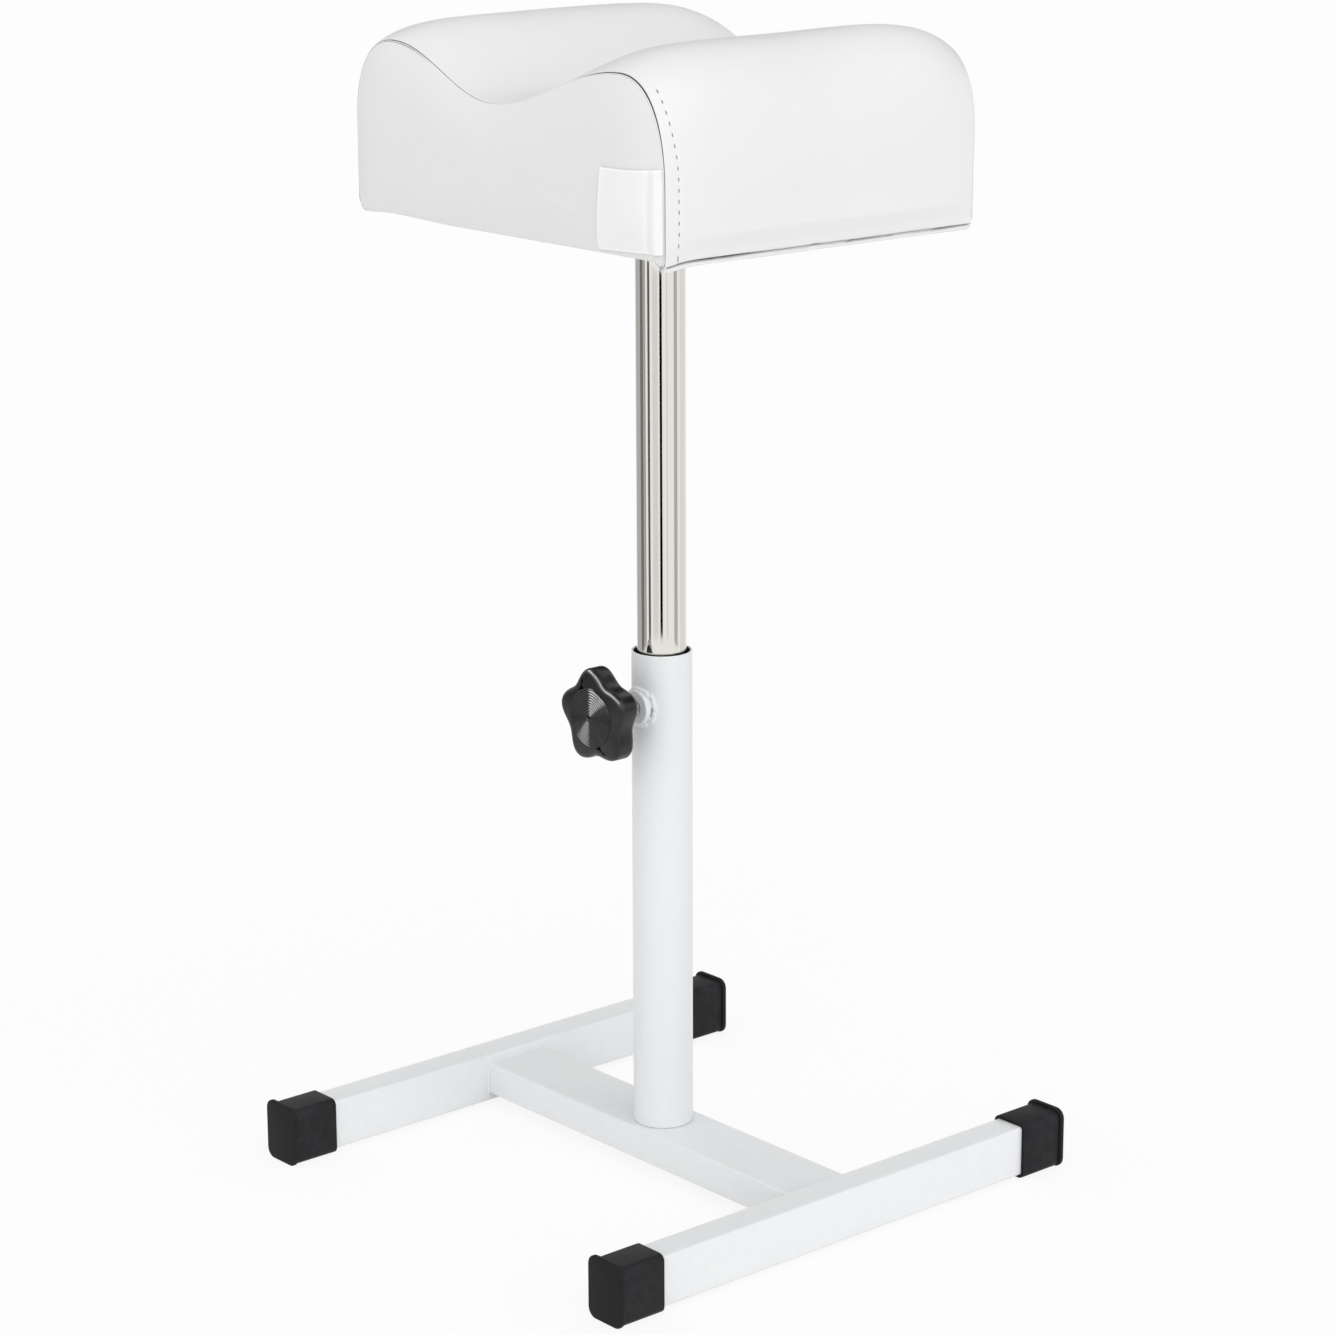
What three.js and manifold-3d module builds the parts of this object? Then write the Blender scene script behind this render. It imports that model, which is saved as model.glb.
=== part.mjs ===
// A free-standing leg and foot rest: an H-shaped tube base, a round post, a mast that slides and turns
// in it under a clamp knob, and a saddle-shaped upholstered cushion.
// Millimetres, +Z up. The origin is on the floor under the post's axis.
// +X runs along the crossbar, +Y along the rails, and the knob faces -Y.

import * as THREE from 'three';
import { mergeVertices } from 'three/addons/utils/BufferGeometryUtils.js';
import Module from 'manifold-3d';

const wasm = await Module();
wasm.setup();

// Clearances
const seatGap = 0.3; // between a piece and its seat
const slipFit = 0.1; // radial play of a tube or plug pushed into another
const threadPlay = 0.2; // radial play round a screw
const overrun = 1; // how far a cutting shape passes the face that it cuts

// Domed screw heads, and the chamfer at a screw's tip
const headTopShare = 0.67; // width of the head's flat top, of the head's width
const headEdgeShare = 0.3; // height of its upright edge, of the head's height
const tipChamferShare = 0.1; // of the screw's diameter

// Base: two rails joined by a crossbar
const footprintLength = 342.6; // over the end caps
const railSpacing = 299; // between the rails' centre lines
const railWidth = 20;
const railHeight = 30;
const tubeWall = 1.2;
const tubeCorner = 1.8;
const crossbarWidth = 44;
const crossbarHeight = 20;
const crossbarDrop = 5; // its top lies this far below the rails' top

// End caps: a sleeve round the rail with a rim that stands proud at its outer end
const capSleeve = 29; // how far the sleeve reaches over the rail
const capWall = 2;
const capEnd = 3;
const capRimThickness = 2.8;
const capRimProud = 2;
const capRimBelow = 0.5;
const capRimRound = 0.6;

// Post, with the plug that its base bolt screws into
const postDiameter = 35;
const postWall = 1.2;
const postLength = 287.5;
const postChamfer = 0.4;
const plugThickness = 12;
const boltDiameter = 8;
const boltLength = 35;
const boltHeadDiameter = 14;
const boltHeadHeight = 4.4;
const boltSocket = 5; // across the flats of its hexagon socket
const boltSocketDepth = 2.6;
const baseWasherDiameter = 18;
const baseWasherThickness = 1.6;

// Clamp: a boss on the post, a hexagon-head screw in a lobed knob, and a swivelling pad on its tip
const clampDrop = 31; // from the post's top to the clamp's axis
const bossDiameter = 20;
const bossStand = 3; // its face stands this far off the front of the post
const bossChamfer = 0.8;
const screwDiameter = 8;
const screwHeadFlats = 13;
const screwHeadHeight = 5.3;
const padDiameter = 7;
const padThickness = 1.6;
const padPinDiameter = 3;
const padPinLength = 5;
const postHolePlay = 0.6; // radial play of the screw in the post's wall

// Knob
const knobRadius = 28.3; // to the tips of the lobes
const knobValley = 22.6; // to the hollows between them
const knobLobes = 5;
const knobTurn = THREE.MathUtils.degToRad(25.3); // where the first lobe points
const knobThickness = 14.5;
const knobRound = 3.6;
const hubLength = 9.5;
const hubDiameter = 21;
const hubTipDiameter = 17;
const hubGap = 9; // screw left bare between the hub and the boss
const discDiameter = 34.6;
const discThickness = 3.2;
const discRecess = 2;
const discDome = 0.9;
const discRings = 10;
const discRingDepth = 0.35;
const discPlainRadius = 2;

// Mast, its lower bush and its mounting flange
const mastDiameter = 28.6;
const mastWall = 1.2;
const mastInsert = 79; // how far it stands in the post
const bushCollar = 8;
const bushSpigot = 14;
const bushBore = 12;
const bushPlay = 0.07; // radial running play of its spigot in the mast
const flangeWidth = 90;
const flangeThickness = 3;
const flangeCorner = 9;
const socketLength = 14;
const socketWall = 3;
const mountSpacing = 66; // between the four screws, both ways
const mountDiameter = 6;
const mountLength = 16;
const mountHeadDiameter = 12;
const mountHeadHeight = 3.6;
const mountHole = 7;
const mountWasherDiameter = 14;
const mountWasherThickness = 1.2;
const teeFlangeDiameter = 19;
const teeFlangeThickness = 1.2;
const teeBarrelDiameter = 8.4;
const teeBarrelLength = 9;

// Cushion. Heights are above the cover's underside, which lies at seatHeight above the floor.
const seatHeight = 564;
const cushionWidth = 262;
const cushionLength = 222; // between the two end seams
const coverThickness = 1.2;
const leftCrestInset = 34.5; // from the side to the crest
const leftCrestHeight = 97.2;
const leftShoulderHeight = 50; // where the side starts to round over
const rightCrestInset = 36.4;
const rightCrestHeight = 94.2;
const rightShoulderHeight = 35;
const valleyOffset = -10.5;
const valleyHeight = 70;
const shoulderPower = 2.3; // exponent of the shoulders' superellipse
const lowerCorner = 6;
const leftCrown = 10.5; // how far the cover rises above the end seams' line on the left crest
const rightCrown = 13.5;
const valleyCrown = 3.5;
const sideSwell = 4.5;
const endBulge = 4;
const endCentreHeight = 40;
const hemWidth = 24;
const clothThickness = 0.5;
const clothMargin = 12;
const boardThickness = 12;
const boardMargin = 5;
const boardCorner = 10;
const tagWidth = 50;
const tagHeight = 44;
const tagLow = 3.4;
const tagThickness = 0.4;
const tagFromSeam = 1.5;

// Places that follow from these sizes
const railUnderside = capRimBelow + capWall + slipFit;
const railCentre = railUnderside + railHeight / 2;
const railLength = footprintLength - 2 * (capEnd + seatGap);
const crossbarTop = railUnderside + railHeight - crossbarDrop;
const crossbarLength = railSpacing - railWidth;
const postTop = crossbarTop + postLength;
const postBore = postDiameter / 2 - postWall;
const mastBottom = postTop - mastInsert;
const mastBore = mastDiameter / 2 - mastWall;
const flangeTop = seatHeight - clothThickness - 2 * seatGap;
const flangeUnderside = flangeTop - flangeThickness;
const boardUnderside = coverThickness + seatGap;
const boardTop = boardUnderside + boardThickness;

// Facets
const tubeSides = 48;
const smallSides = 16;
const cornerSteps = 3;
const roundSteps = 2;
const discSides = 36;
const lobeSteps = 12;

const quarter = Math.PI / 2;

// A geometry as a solid that can be cut and joined
function solid(geometry) {
  const bare = geometry.clone();
  for (const name of Object.keys(bare.attributes)) {
    if (name !== 'position') bare.deleteAttribute(name);
  }
  const merged = mergeVertices(bare);
  const index = Array.from(merged.index.array);
  const triangles = [];
  for (let i = 0; i < index.length; i += 3) {
    const [a, b, c] = index.slice(i, i + 3);
    if (a !== b && b !== c && c !== a) triangles.push(a, b, c);
  }
  return new wasm.Manifold(new wasm.Mesh({
    numProp: 3,
    vertProperties: new Float32Array(merged.attributes.position.array),
    triVerts: new Uint32Array(triangles),
  }));
}

function geometryOf(body) {
  const mesh = body.getMesh();
  const geometry = new THREE.BufferGeometry();
  geometry.setAttribute('position', new THREE.BufferAttribute(new Float32Array(mesh.vertProperties), 3));
  geometry.setIndex(Array.from(mesh.triVerts));
  geometry.computeVertexNormals();
  return geometry;
}

function cut(geometry, ...tools) {
  return geometryOf(tools.reduce((body, tool) => body.subtract(solid(tool)), solid(geometry)));
}

function join(...geometries) {
  return geometryOf(geometries.map(solid).reduce((body, next) => body.add(next)));
}

function common(geometry, other) {
  return geometryOf(solid(geometry).intersect(solid(other)));
}

// A profile of [radius, height] points turned round +Z
function turned(profile, sides = tubeSides) {
  const points = profile.map(([radius, height]) => new THREE.Vector2(radius, height));
  return new THREE.LatheGeometry(points, sides).rotateX(quarter);
}

// A round ring between two radii and two heights
function ring(inner, outer, low, high, sides = tubeSides) {
  return turned([[inner, low], [outer, low], [outer, high], [inner, high], [inner, low]], sides);
}

// A round rod along +Z between two heights
function rod(radius, low, high, sides = smallSides) {
  return turned([[0, low], [radius, low], [radius, high], [0, high]], sides);
}

function hexRod(flats, low, high) {
  return rod(flats / 2 / Math.cos(Math.PI / 6), low, high, 6);
}

// A domed-head screw that points up, its head under a seat at the given height
function domedScrew(diameter, length, headDiameter, headHeight, seat) {
  const headUnder = seat - headHeight;
  return turned([
    [0, headUnder], [headTopShare * headDiameter / 2, headUnder],
    [headDiameter / 2, seat - headEdgeShare * headHeight], [headDiameter / 2, seat],
    [diameter / 2, seat], [diameter / 2, seat + length], [0, seat + length],
  ], smallSides);
}

function block(width, depth, low, high) {
  return new THREE.BoxGeometry(width, depth, high - low).translate(0, 0, (low + high) / 2);
}

function roundedRect(width, height, radius) {
  const x = width / 2 - radius;
  const y = height / 2 - radius;
  const shape = new THREE.Shape();
  shape.absarc(x, y, radius, 0, quarter);
  shape.absarc(-x, y, radius, quarter, 2 * quarter);
  shape.absarc(-x, -y, radius, 2 * quarter, 3 * quarter);
  shape.absarc(x, -y, radius, 3 * quarter, 4 * quarter);
  return shape;
}

// A flat outline made thick from one height to another
function slab(shape, low, high, round = 0) {
  return new THREE.ExtrudeGeometry(shape, {
    depth: high - low - 2 * round,
    curveSegments: cornerSteps,
    bevelEnabled: round > 0,
    bevelThickness: round,
    bevelSize: round,
    bevelOffset: -round,
    bevelSegments: roundSteps,
  }).translate(0, 0, low + round);
}

// The four mounting screws' places
function mountPlaces() {
  const half = mountSpacing / 2;
  return [[-half, -half], [half, -half], [half, half], [-half, half]];
}

// Copies of a cutting shape at the four mounting screws
function atMounts(geometry) {
  return mountPlaces().map(([x, y]) => geometry.clone().translate(x, y, 0));
}

function material(color, roughness, metalness) {
  return new THREE.MeshStandardMaterial({ color, roughness, metalness });
}

const whitePaint = () => material(0xe6e7e8, 0.35, 0.1);
const blackPlastic = () => material(0x1c1c1f, 0.45, 0);
const whiteLeather = () => material(0xf0efef, 0.5, 0);
const chrome = () => material(0xd8d4cb, 0.12, 1);
const zinc = () => material(0xb9bcc0, 0.35, 0.9);
const nylon = () => material(0xd9d6cc, 0.6, 0);

function add(group, name, geometry, look) {
  const mesh = new THREE.Mesh(geometry, look);
  mesh.name = name;
  group.add(mesh);
  return mesh;
}

// The same fastener at each of the four mounting screws, as meshes NAME_1 to NAME_4
function addAtMounts(group, name, geometry, look) {
  mountPlaces().forEach(([x, y], i) => {
    const mesh = add(group, `${name}_${i + 1}`, geometry, look());
    mesh.position.set(x, y, 0);
  });
}

// Rectangular tube along +Z, centred on its own axis
function boxTube(width, height, length) {
  const outer = roundedRect(width, height, tubeCorner);
  const inner = roundedRect(width - 2 * tubeWall, height - 2 * tubeWall, tubeCorner - tubeWall);
  outer.holes.push(inner);
  return slab(outer, -length / 2, length / 2);
}

// An end cap, with the rail's end at z = 0, +z outwards and +y up
function endCap() {
  const boreWidth = railWidth + 2 * slipFit;
  const boreHeight = railHeight + 2 * slipFit;
  const width = boreWidth + 2 * capWall;
  const height = boreHeight + 2 * capWall;
  const face = seatGap + capEnd;
  const corner = tubeCorner + slipFit + capWall;
  const sleeve = slab(roundedRect(width, height, corner), -capSleeve, face - capRimRound);
  const rimHeight = height + capRimProud + capRimBelow;
  const rimShape = roundedRect(width + 2 * capRimProud, rimHeight, corner + capRimProud);
  const rim = slab(rimShape, face - capRimThickness, face, capRimRound);
  rim.translate(0, (capRimProud - capRimBelow) / 2, 0);
  const bore = slab(roundedRect(boreWidth, boreHeight, tubeCorner + slipFit), -capSleeve - overrun, seatGap);
  return cut(join(sleeve, rim), bore);
}

function buildBase() {
  const base = new THREE.Group();
  for (const [name, side] of [['left', -1], ['right', 1]]) {
    const railGroup = new THREE.Group();
    railGroup.position.set(side * railSpacing / 2, 0, railCentre);
    const rail = add(railGroup, `rail_${name}`, boxTube(railWidth, railHeight, railLength), whitePaint());
    rail.rotation.x = quarter;
    for (const [end, turn] of [['front', 0], ['rear', Math.PI]]) {
      const endGroup = new THREE.Group();
      endGroup.rotation.z = turn;
      const cap = add(endGroup, `end_cap_${name}_${end}`, endCap(), blackPlastic());
      cap.rotation.x = quarter;
      cap.position.y = -railLength / 2;
      railGroup.add(endGroup);
    }
    base.add(railGroup);
  }
  const bar = boxTube(crossbarHeight, crossbarWidth, crossbarLength).rotateY(quarter);
  const boltHole = rod(boltDiameter / 2 + seatGap, -crossbarHeight, crossbarHeight);
  const crossbar = add(base, 'crossbar', cut(bar, boltHole), whitePaint());
  crossbar.position.z = crossbarTop - crossbarHeight / 2;
  return base;
}

// The post stands on z = 0 of its own group
function buildPost() {
  const post = new THREE.Group();
  post.position.z = crossbarTop;
  const outer = postDiameter / 2;
  const wall = turned([
    [postBore, 0], [outer, 0], [outer, postLength - postChamfer],
    [outer - postChamfer, postLength], [postBore, postLength], [postBore, 0],
  ]);
  const hole = rod(screwDiameter / 2 + postHolePlay, 0, postDiameter);
  hole.rotateX(quarter).translate(0, 0, postLength - clampDrop);
  add(post, 'post_tube', cut(wall, hole), whitePaint());

  const threadBore = boltDiameter / 2 + threadPlay;
  add(post, 'post_foot_plug', ring(threadBore, postBore - slipFit, 0, plugThickness), zinc());

  const washerUnder = -crossbarHeight - baseWasherThickness;
  const washer = ring(threadBore, baseWasherDiameter / 2, washerUnder, -crossbarHeight, smallSides);
  add(post, 'base_washer', washer, zinc());

  const headUnder = washerUnder - boltHeadHeight;
  const bolt = domedScrew(boltDiameter, boltLength, boltHeadDiameter, boltHeadHeight, washerUnder);
  const socket = hexRod(boltSocket, headUnder - overrun, headUnder + boltSocketDepth);
  add(post, 'base_bolt', cut(bolt, socket), zinc());
  return post;
}

// Everything on the clamp's axis: z runs outwards from the post's axis, and y is up
const padFace = mastDiameter / 2 + seatGap;
const screwTip = padFace + padThickness + seatGap;
const bossFace = postDiameter / 2 + bossStand;
const hubTip = bossFace + hubGap;
const knobBack = hubTip + hubLength;
const knobFace = knobBack + knobThickness;
const discFloor = knobFace - discRecess;
const screwHeadTop = discFloor - seatGap;
const screwHeadUnder = screwHeadTop - screwHeadHeight;

function clampBoss() {
  const radius = bossDiameter / 2;
  const blank = turned([
    [0, 0], [radius, 0], [radius, bossFace - bossChamfer], [radius - bossChamfer, bossFace], [0, bossFace],
  ], tubeSides);
  const postRadius = postDiameter / 2 + seatGap;
  const post = new THREE.CylinderGeometry(postRadius, postRadius, postDiameter, tubeSides);
  const bore = rod(screwDiameter / 2 + threadPlay, 0, bossFace + overrun);
  return cut(blank, post, bore);
}

function clampScrew() {
  const chamfer = tipChamferShare * screwDiameter;
  const pinHole = padPinDiameter / 2 + threadPlay;
  const holeEnd = screwTip + padPinLength + seatGap;
  const shank = turned([
    [0, holeEnd], [pinHole, holeEnd], [pinHole, screwTip], [screwDiameter / 2 - chamfer, screwTip],
    [screwDiameter / 2, screwTip + chamfer], [screwDiameter / 2, screwHeadTop - chamfer],
    [0, screwHeadTop - chamfer],
  ], smallSides);
  return join(shank, hexRod(screwHeadFlats, screwHeadUnder, screwHeadTop));
}

function clampPad() {
  const back = padFace + padThickness;
  return turned([
    [0, padFace], [padDiameter / 2, padFace], [padDiameter / 2, back],
    [padPinDiameter / 2, back], [padPinDiameter / 2, back + padPinLength], [0, back + padPinLength],
  ], smallSides);
}

// The knob's outline swings between its valleys and the tips of its lobes
function lobedOutline() {
  const middle = (knobRadius + knobValley) / 2;
  const swing = (knobRadius - knobValley) / 2;
  const points = [];
  const steps = knobLobes * lobeSteps;
  for (let i = 0; i < steps; i++) {
    const angle = 2 * Math.PI * i / steps;
    const radius = middle + swing * Math.cos(knobLobes * (angle - knobTurn));
    points.push(new THREE.Vector2(radius * Math.cos(angle), radius * Math.sin(angle)));
  }
  return new THREE.Shape(points);
}

function knobGrip() {
  const body = slab(lobedOutline(), knobBack, knobFace, knobRound);
  const hub = turned([
    [0, hubTip], [hubTipDiameter / 2, hubTip], [hubDiameter / 2, knobBack],
    [hubDiameter / 2, knobBack + knobRound], [0, knobBack + knobRound],
  ]);
  const bore = rod(screwDiameter / 2 + threadPlay, hubTip - overrun, knobFace);
  const pocket = hexRod(screwHeadFlats + 2 * threadPlay, screwHeadUnder - seatGap, knobFace + overrun);
  const recess = rod(discDiameter / 2 + seatGap, discFloor, knobFace + overrun, tubeSides);
  return cut(join(body, hub), bore, pocket, recess);
}

// The cap in the knob's face: a shallow dome cut with concentric rings
function knobCap() {
  const radius = discDiameter / 2;
  const edge = discFloor + seatGap + discThickness - discDome;
  const dome = (r) => edge + discDome * (1 - (r / radius) ** 2);
  const pitch = (radius - discPlainRadius) / discRings;
  const profile = [[0, discFloor + seatGap], [radius, discFloor + seatGap], [radius, dome(radius)]];
  for (let i = 0; i < discRings; i++) {
    const crest = radius - i * pitch;
    profile.push([crest - pitch / 2, dome(crest) - discRingDepth]);
    profile.push([crest - pitch, dome(crest - pitch)]);
  }
  profile.push([0, dome(0)]);
  return turned(profile, discSides);
}

function buildClamp() {
  const clamp = new THREE.Group();
  clamp.position.z = postTop - clampDrop;
  clamp.rotation.x = quarter;
  add(clamp, 'clamp_boss', clampBoss(), whitePaint());
  add(clamp, 'clamp_pad', clampPad(), nylon());
  add(clamp, 'clamp_screw', clampScrew(), zinc());
  add(clamp, 'knob_grip', knobGrip(), blackPlastic());
  add(clamp, 'knob_cap', knobCap(), blackPlastic());
  return clamp;
}

// The mast's own z = 0 is its lower end
function buildMast() {
  const mast = new THREE.Group();
  mast.position.z = mastBottom;
  const outer = mastDiameter / 2;
  const spigot = mastBore - bushPlay;
  const collar = postBore - slipFit;
  add(mast, 'guide_bush', turned([
    [bushBore / 2, -seatGap - bushCollar], [collar, -seatGap - bushCollar], [collar, -seatGap],
    [spigot, -seatGap], [spigot, bushSpigot], [bushBore / 2, bushSpigot],
    [bushBore / 2, -seatGap - bushCollar],
  ]), nylon());
  const plateUnder = flangeUnderside - mastBottom;
  add(mast, 'mast_tube', ring(mastBore, outer, 0, plateUnder - seatGap), chrome());

  const plateTop = plateUnder + flangeThickness;
  const plate = slab(roundedRect(flangeWidth, flangeWidth, flangeCorner), plateUnder, plateTop);
  const socketBore = outer + slipFit;
  const socketLow = plateUnder - socketLength;
  const socket = ring(socketBore, socketBore + socketWall, socketLow, plateUnder + flangeThickness / 2);
  const holes = atMounts(rod(mountHole / 2, plateUnder - overrun, plateTop + overrun));
  const core = rod(socketBore, socketLow - overrun, plateUnder, tubeSides);
  add(mast, 'mast_flange', cut(join(plate, socket), core, ...holes), whitePaint());

  const washerUnder = plateUnder - mountWasherThickness;
  const washerBore = mountDiameter / 2 + threadPlay;
  const washer = ring(washerBore, mountWasherDiameter / 2, washerUnder, plateUnder, smallSides);
  addAtMounts(mast, 'flange_washer', washer, zinc);

  const screw = domedScrew(mountDiameter, mountLength, mountHeadDiameter, mountHeadHeight, washerUnder);
  addAtMounts(mast, 'flange_screw', screw, zinc);
  return mast;
}

// The cushion's cross-section as closed points, from the lower left corner over the top and back along
// the bottom. Each has its outward normal.
function cushionSection() {
  const half = cushionWidth / 2;
  const points = [];
  const place = (x, z) => points.push({ x, z });
  const arcSteps = 3;
  const sideSteps = 2;
  const shoulderSteps = 9;
  const slopeSteps = 8;
  const bottomSteps = 4;
  for (let i = 0; i < arcSteps; i++) {
    const angle = quarter * i / arcSteps;
    place(-half + lowerCorner * (1 - Math.sin(angle)), lowerCorner * (1 - Math.cos(angle)));
  }
  for (let i = 0; i < sideSteps; i++) {
    place(-half, lowerCorner + (leftShoulderHeight - lowerCorner) * i / sideSteps);
  }
  const round = (share) => Math.pow(share, 2 / shoulderPower);
  const leftCrest = -half + leftCrestInset;
  for (let i = 0; i < shoulderSteps; i++) {
    const angle = quarter * i / shoulderSteps;
    place(leftCrest - leftCrestInset * round(Math.cos(angle)),
      leftShoulderHeight + (leftCrestHeight - leftShoulderHeight) * round(Math.sin(angle)));
  }
  const slope = (fromX, fromZ, toX, toZ) => {
    for (let i = 0; i < slopeSteps; i++) {
      const share = i / slopeSteps;
      place(fromX + (toX - fromX) * share, fromZ + (toZ - fromZ) * (1 - Math.cos(Math.PI * share)) / 2);
    }
  };
  const rightCrest = half - rightCrestInset;
  slope(leftCrest, leftCrestHeight, valleyOffset, valleyHeight);
  slope(valleyOffset, valleyHeight, rightCrest, rightCrestHeight);
  for (let i = 0; i < shoulderSteps; i++) {
    const angle = quarter * (1 - i / shoulderSteps);
    place(rightCrest + rightCrestInset * round(Math.cos(angle)),
      rightShoulderHeight + (rightCrestHeight - rightShoulderHeight) * round(Math.sin(angle)));
  }
  for (let i = 0; i < sideSteps; i++) {
    place(half, rightShoulderHeight + (lowerCorner - rightShoulderHeight) * i / sideSteps);
  }
  for (let i = 0; i < arcSteps; i++) {
    const angle = quarter * (1 - i / arcSteps);
    place(half - lowerCorner * (1 - Math.sin(angle)), lowerCorner * (1 - Math.cos(angle)));
  }
  for (let i = 0; i < bottomSteps; i++) {
    place((half - lowerCorner) * (1 - 2 * i / bottomSteps), 0);
  }
  points.forEach((point, i) => {
    const next = points[(i + 1) % points.length];
    const last = points[(i + points.length - 1) % points.length];
    const length = Math.hypot(next.x - last.x, next.z - last.z);
    point.normalX = -(next.z - last.z) / length;
    point.normalZ = (next.x - last.x) / length;
  });
  return points;
}

// How far the cover stands out of the section midway between the end seams: most on the two crests, least
// in the valley, and evenly on the sides.
function crownAt(x, normalZ) {
  const onLeft = x < valleyOffset;
  const crest = onLeft ? -cushionWidth / 2 + leftCrestInset : cushionWidth / 2 - rightCrestInset;
  const share = Math.min(1, (x - valleyOffset) / (crest - valleyOffset));
  const climb = ((1 - Math.cos(Math.PI * share)) / 2) ** 3;
  const top = valleyCrown + ((onLeft ? leftCrown : rightCrown) - valleyCrown) * climb;
  return sideSwell + (top - sideSwell) * Math.sqrt(Math.max(0, normalZ));
}

// The whole cushion's form, drawn in by an inset all round: crowned on top, swelling at the sides between
// the two end seams, with the end panels bulging.
function cushionForm(inset) {
  const section = cushionSection();
  const count = section.length;
  const half = cushionLength / 2 - inset;
  const lengthSteps = 12;
  const swellPower = 6;
  const panelShares = [0.4, 0.75];
  const positions = [];
  const addRing = (y, lengthShare, panelShare) => {
    for (const { x, z, normalX, normalZ } of section) {
      const rise = Math.min(1, z / (2 * lowerCorner));
      const out = crownAt(x, normalZ) * rise * (1 - Math.abs(lengthShare) ** swellPower) - inset;
      const ringX = x + normalX * out;
      const ringZ = z + normalZ * out - endCentreHeight;
      positions.push(ringX * panelShare, y, endCentreHeight + ringZ * panelShare);
    }
  };
  const bulge = (share) => endBulge * (1 - share ** 2);
  positions.push(0, -half - bulge(0), endCentreHeight);
  for (const share of panelShares) addRing(-half - bulge(share), 1, share);
  for (let i = 0; i <= lengthSteps; i++) {
    const lengthShare = Math.sin(quarter * (2 * i / lengthSteps - 1));
    addRing(half * lengthShare, lengthShare, 1);
  }
  for (const share of [...panelShares].reverse()) addRing(half + bulge(share), 1, share);
  positions.push(0, half + bulge(0), endCentreHeight);

  const triangles = [];
  const rings = lengthSteps + 1 + 2 * panelShares.length;
  const lastPole = 1 + rings * count;
  for (let i = 0; i < count; i++) {
    const next = (i + 1) % count;
    triangles.push(0, 1 + next, 1 + i);
    for (let r = 0; r < rings - 1; r++) {
      const near = 1 + r * count;
      const far = near + count;
      triangles.push(near + i, far + next, far + i, near + i, near + next, far + next);
    }
    const edge = lastPole - count;
    triangles.push(lastPole, edge + i, edge + next);
  }
  const geometry = new THREE.BufferGeometry();
  geometry.setAttribute('position', new THREE.Float32BufferAttribute(positions, 3));
  geometry.setIndex(triangles);
  geometry.computeVertexNormals();
  return geometry;
}

function buildCushion() {
  const cushion = new THREE.Group();
  cushion.position.z = seatHeight;
  const boardWidth = cushionWidth - 2 * boardMargin;
  const boardLength = cushionLength - 2 * boardMargin;
  const barrelHole = teeBarrelDiameter / 2 + threadPlay;
  const boardHoles = atMounts(rod(barrelHole, boardUnderside - overrun, boardTop + overrun));
  const board = slab(roundedRect(boardWidth, boardLength, boardCorner), boardUnderside, boardTop);
  add(cushion, 'seat_board', cut(board, ...boardHoles), material(0xc9a878, 0.7, 0));

  const teeTop = boardTop + teeFlangeThickness;
  const teeUnder = boardTop - teeBarrelLength;
  const teeBore = mountDiameter / 2 + threadPlay;
  const tee = turned([
    [teeBore, teeUnder], [teeBarrelDiameter / 2, teeUnder], [teeBarrelDiameter / 2, boardTop],
    [teeFlangeDiameter / 2, boardTop], [teeFlangeDiameter / 2, teeTop], [teeBore, teeTop],
    [teeBore, teeUnder],
  ], smallSides);
  addAtMounts(cushion, 'tee_nut', tee, zinc);

  const foamUnder = boardTop + seatGap;
  const below = block(2 * cushionWidth, 2 * cushionLength, -overrun, foamUnder);
  const pockets = atMounts(rod(teeFlangeDiameter / 2 + seatGap, boardTop, teeTop + seatGap));
  const foam = cut(cushionForm(coverThickness + seatGap), below, ...pockets);
  add(cushion, 'foam_block', foam, material(0xe8dfc0, 0.9, 0));

  const windowWidth = cushionWidth - 2 * hemWidth;
  const windowLength = cushionLength - 2 * hemWidth;
  const window = block(windowWidth, windowLength, -overrun, coverThickness + seatGap / 2);
  const cover = cut(cushionForm(0), cushionForm(coverThickness), window);
  const seam = cushionLength / 2 - coverThickness;
  const high = leftCrestHeight + rightCrestHeight;
  const middle = block(2 * cushionWidth, 2 * (seam - seatGap), -overrun, high);
  const end = block(2 * cushionWidth, cushionLength, -overrun, high);
  const front = end.clone().translate(0, -seam - cushionLength / 2, 0);
  const rear = end.clone().translate(0, seam + cushionLength / 2, 0);
  add(cushion, 'cover_wrap', common(cover, middle), whiteLeather());
  add(cushion, 'cover_end_front', common(cover, front), whiteLeather());
  add(cushion, 'cover_end_rear', common(cover, rear), whiteLeather());

  const clothWidth = cushionWidth - 2 * clothMargin;
  const clothLength = cushionLength - 2 * clothMargin;
  const cloth = slab(roundedRect(clothWidth, clothLength, boardCorner), -seatGap - clothThickness, -seatGap);
  const clothHoles = atMounts(rod(mountHole / 2, -seatGap - clothThickness - overrun, overrun));
  add(cushion, 'bottom_cloth', cut(cloth, ...clothHoles), material(0x2b2b2d, 0.95, 0));

  const tagSheet = cut(cushionForm(-seatGap - tagThickness), cushionForm(-seatGap));
  const tagRight = cushionWidth / 2 - tagFromSeam;
  const tagBlock = block(tagWidth, cushionLength, tagLow, tagLow + tagHeight);
  tagBlock.translate(tagRight - tagWidth / 2, -cushionLength / 2 - overrun, 0);
  add(cushion, 'label_tag', common(common(tagSheet, tagBlock), front), material(0xf4f4f4, 0.6, 0));
  return cushion;
}

const part = new THREE.Group();
part.add(buildBase(), buildPost(), buildClamp(), buildMast(), buildCushion());

export default part;
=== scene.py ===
# A free-standing pedicure leg rest in a plain white studio: an H-shaped tube base, a telescopic post with a
# star knob, and a saddle-shaped leather cushion.
import math
import random

import bmesh
import bpy
import numpy as np
from mathutils import Matrix, Vector, noise
from mathutils.bvhtree import BVHTree


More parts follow.
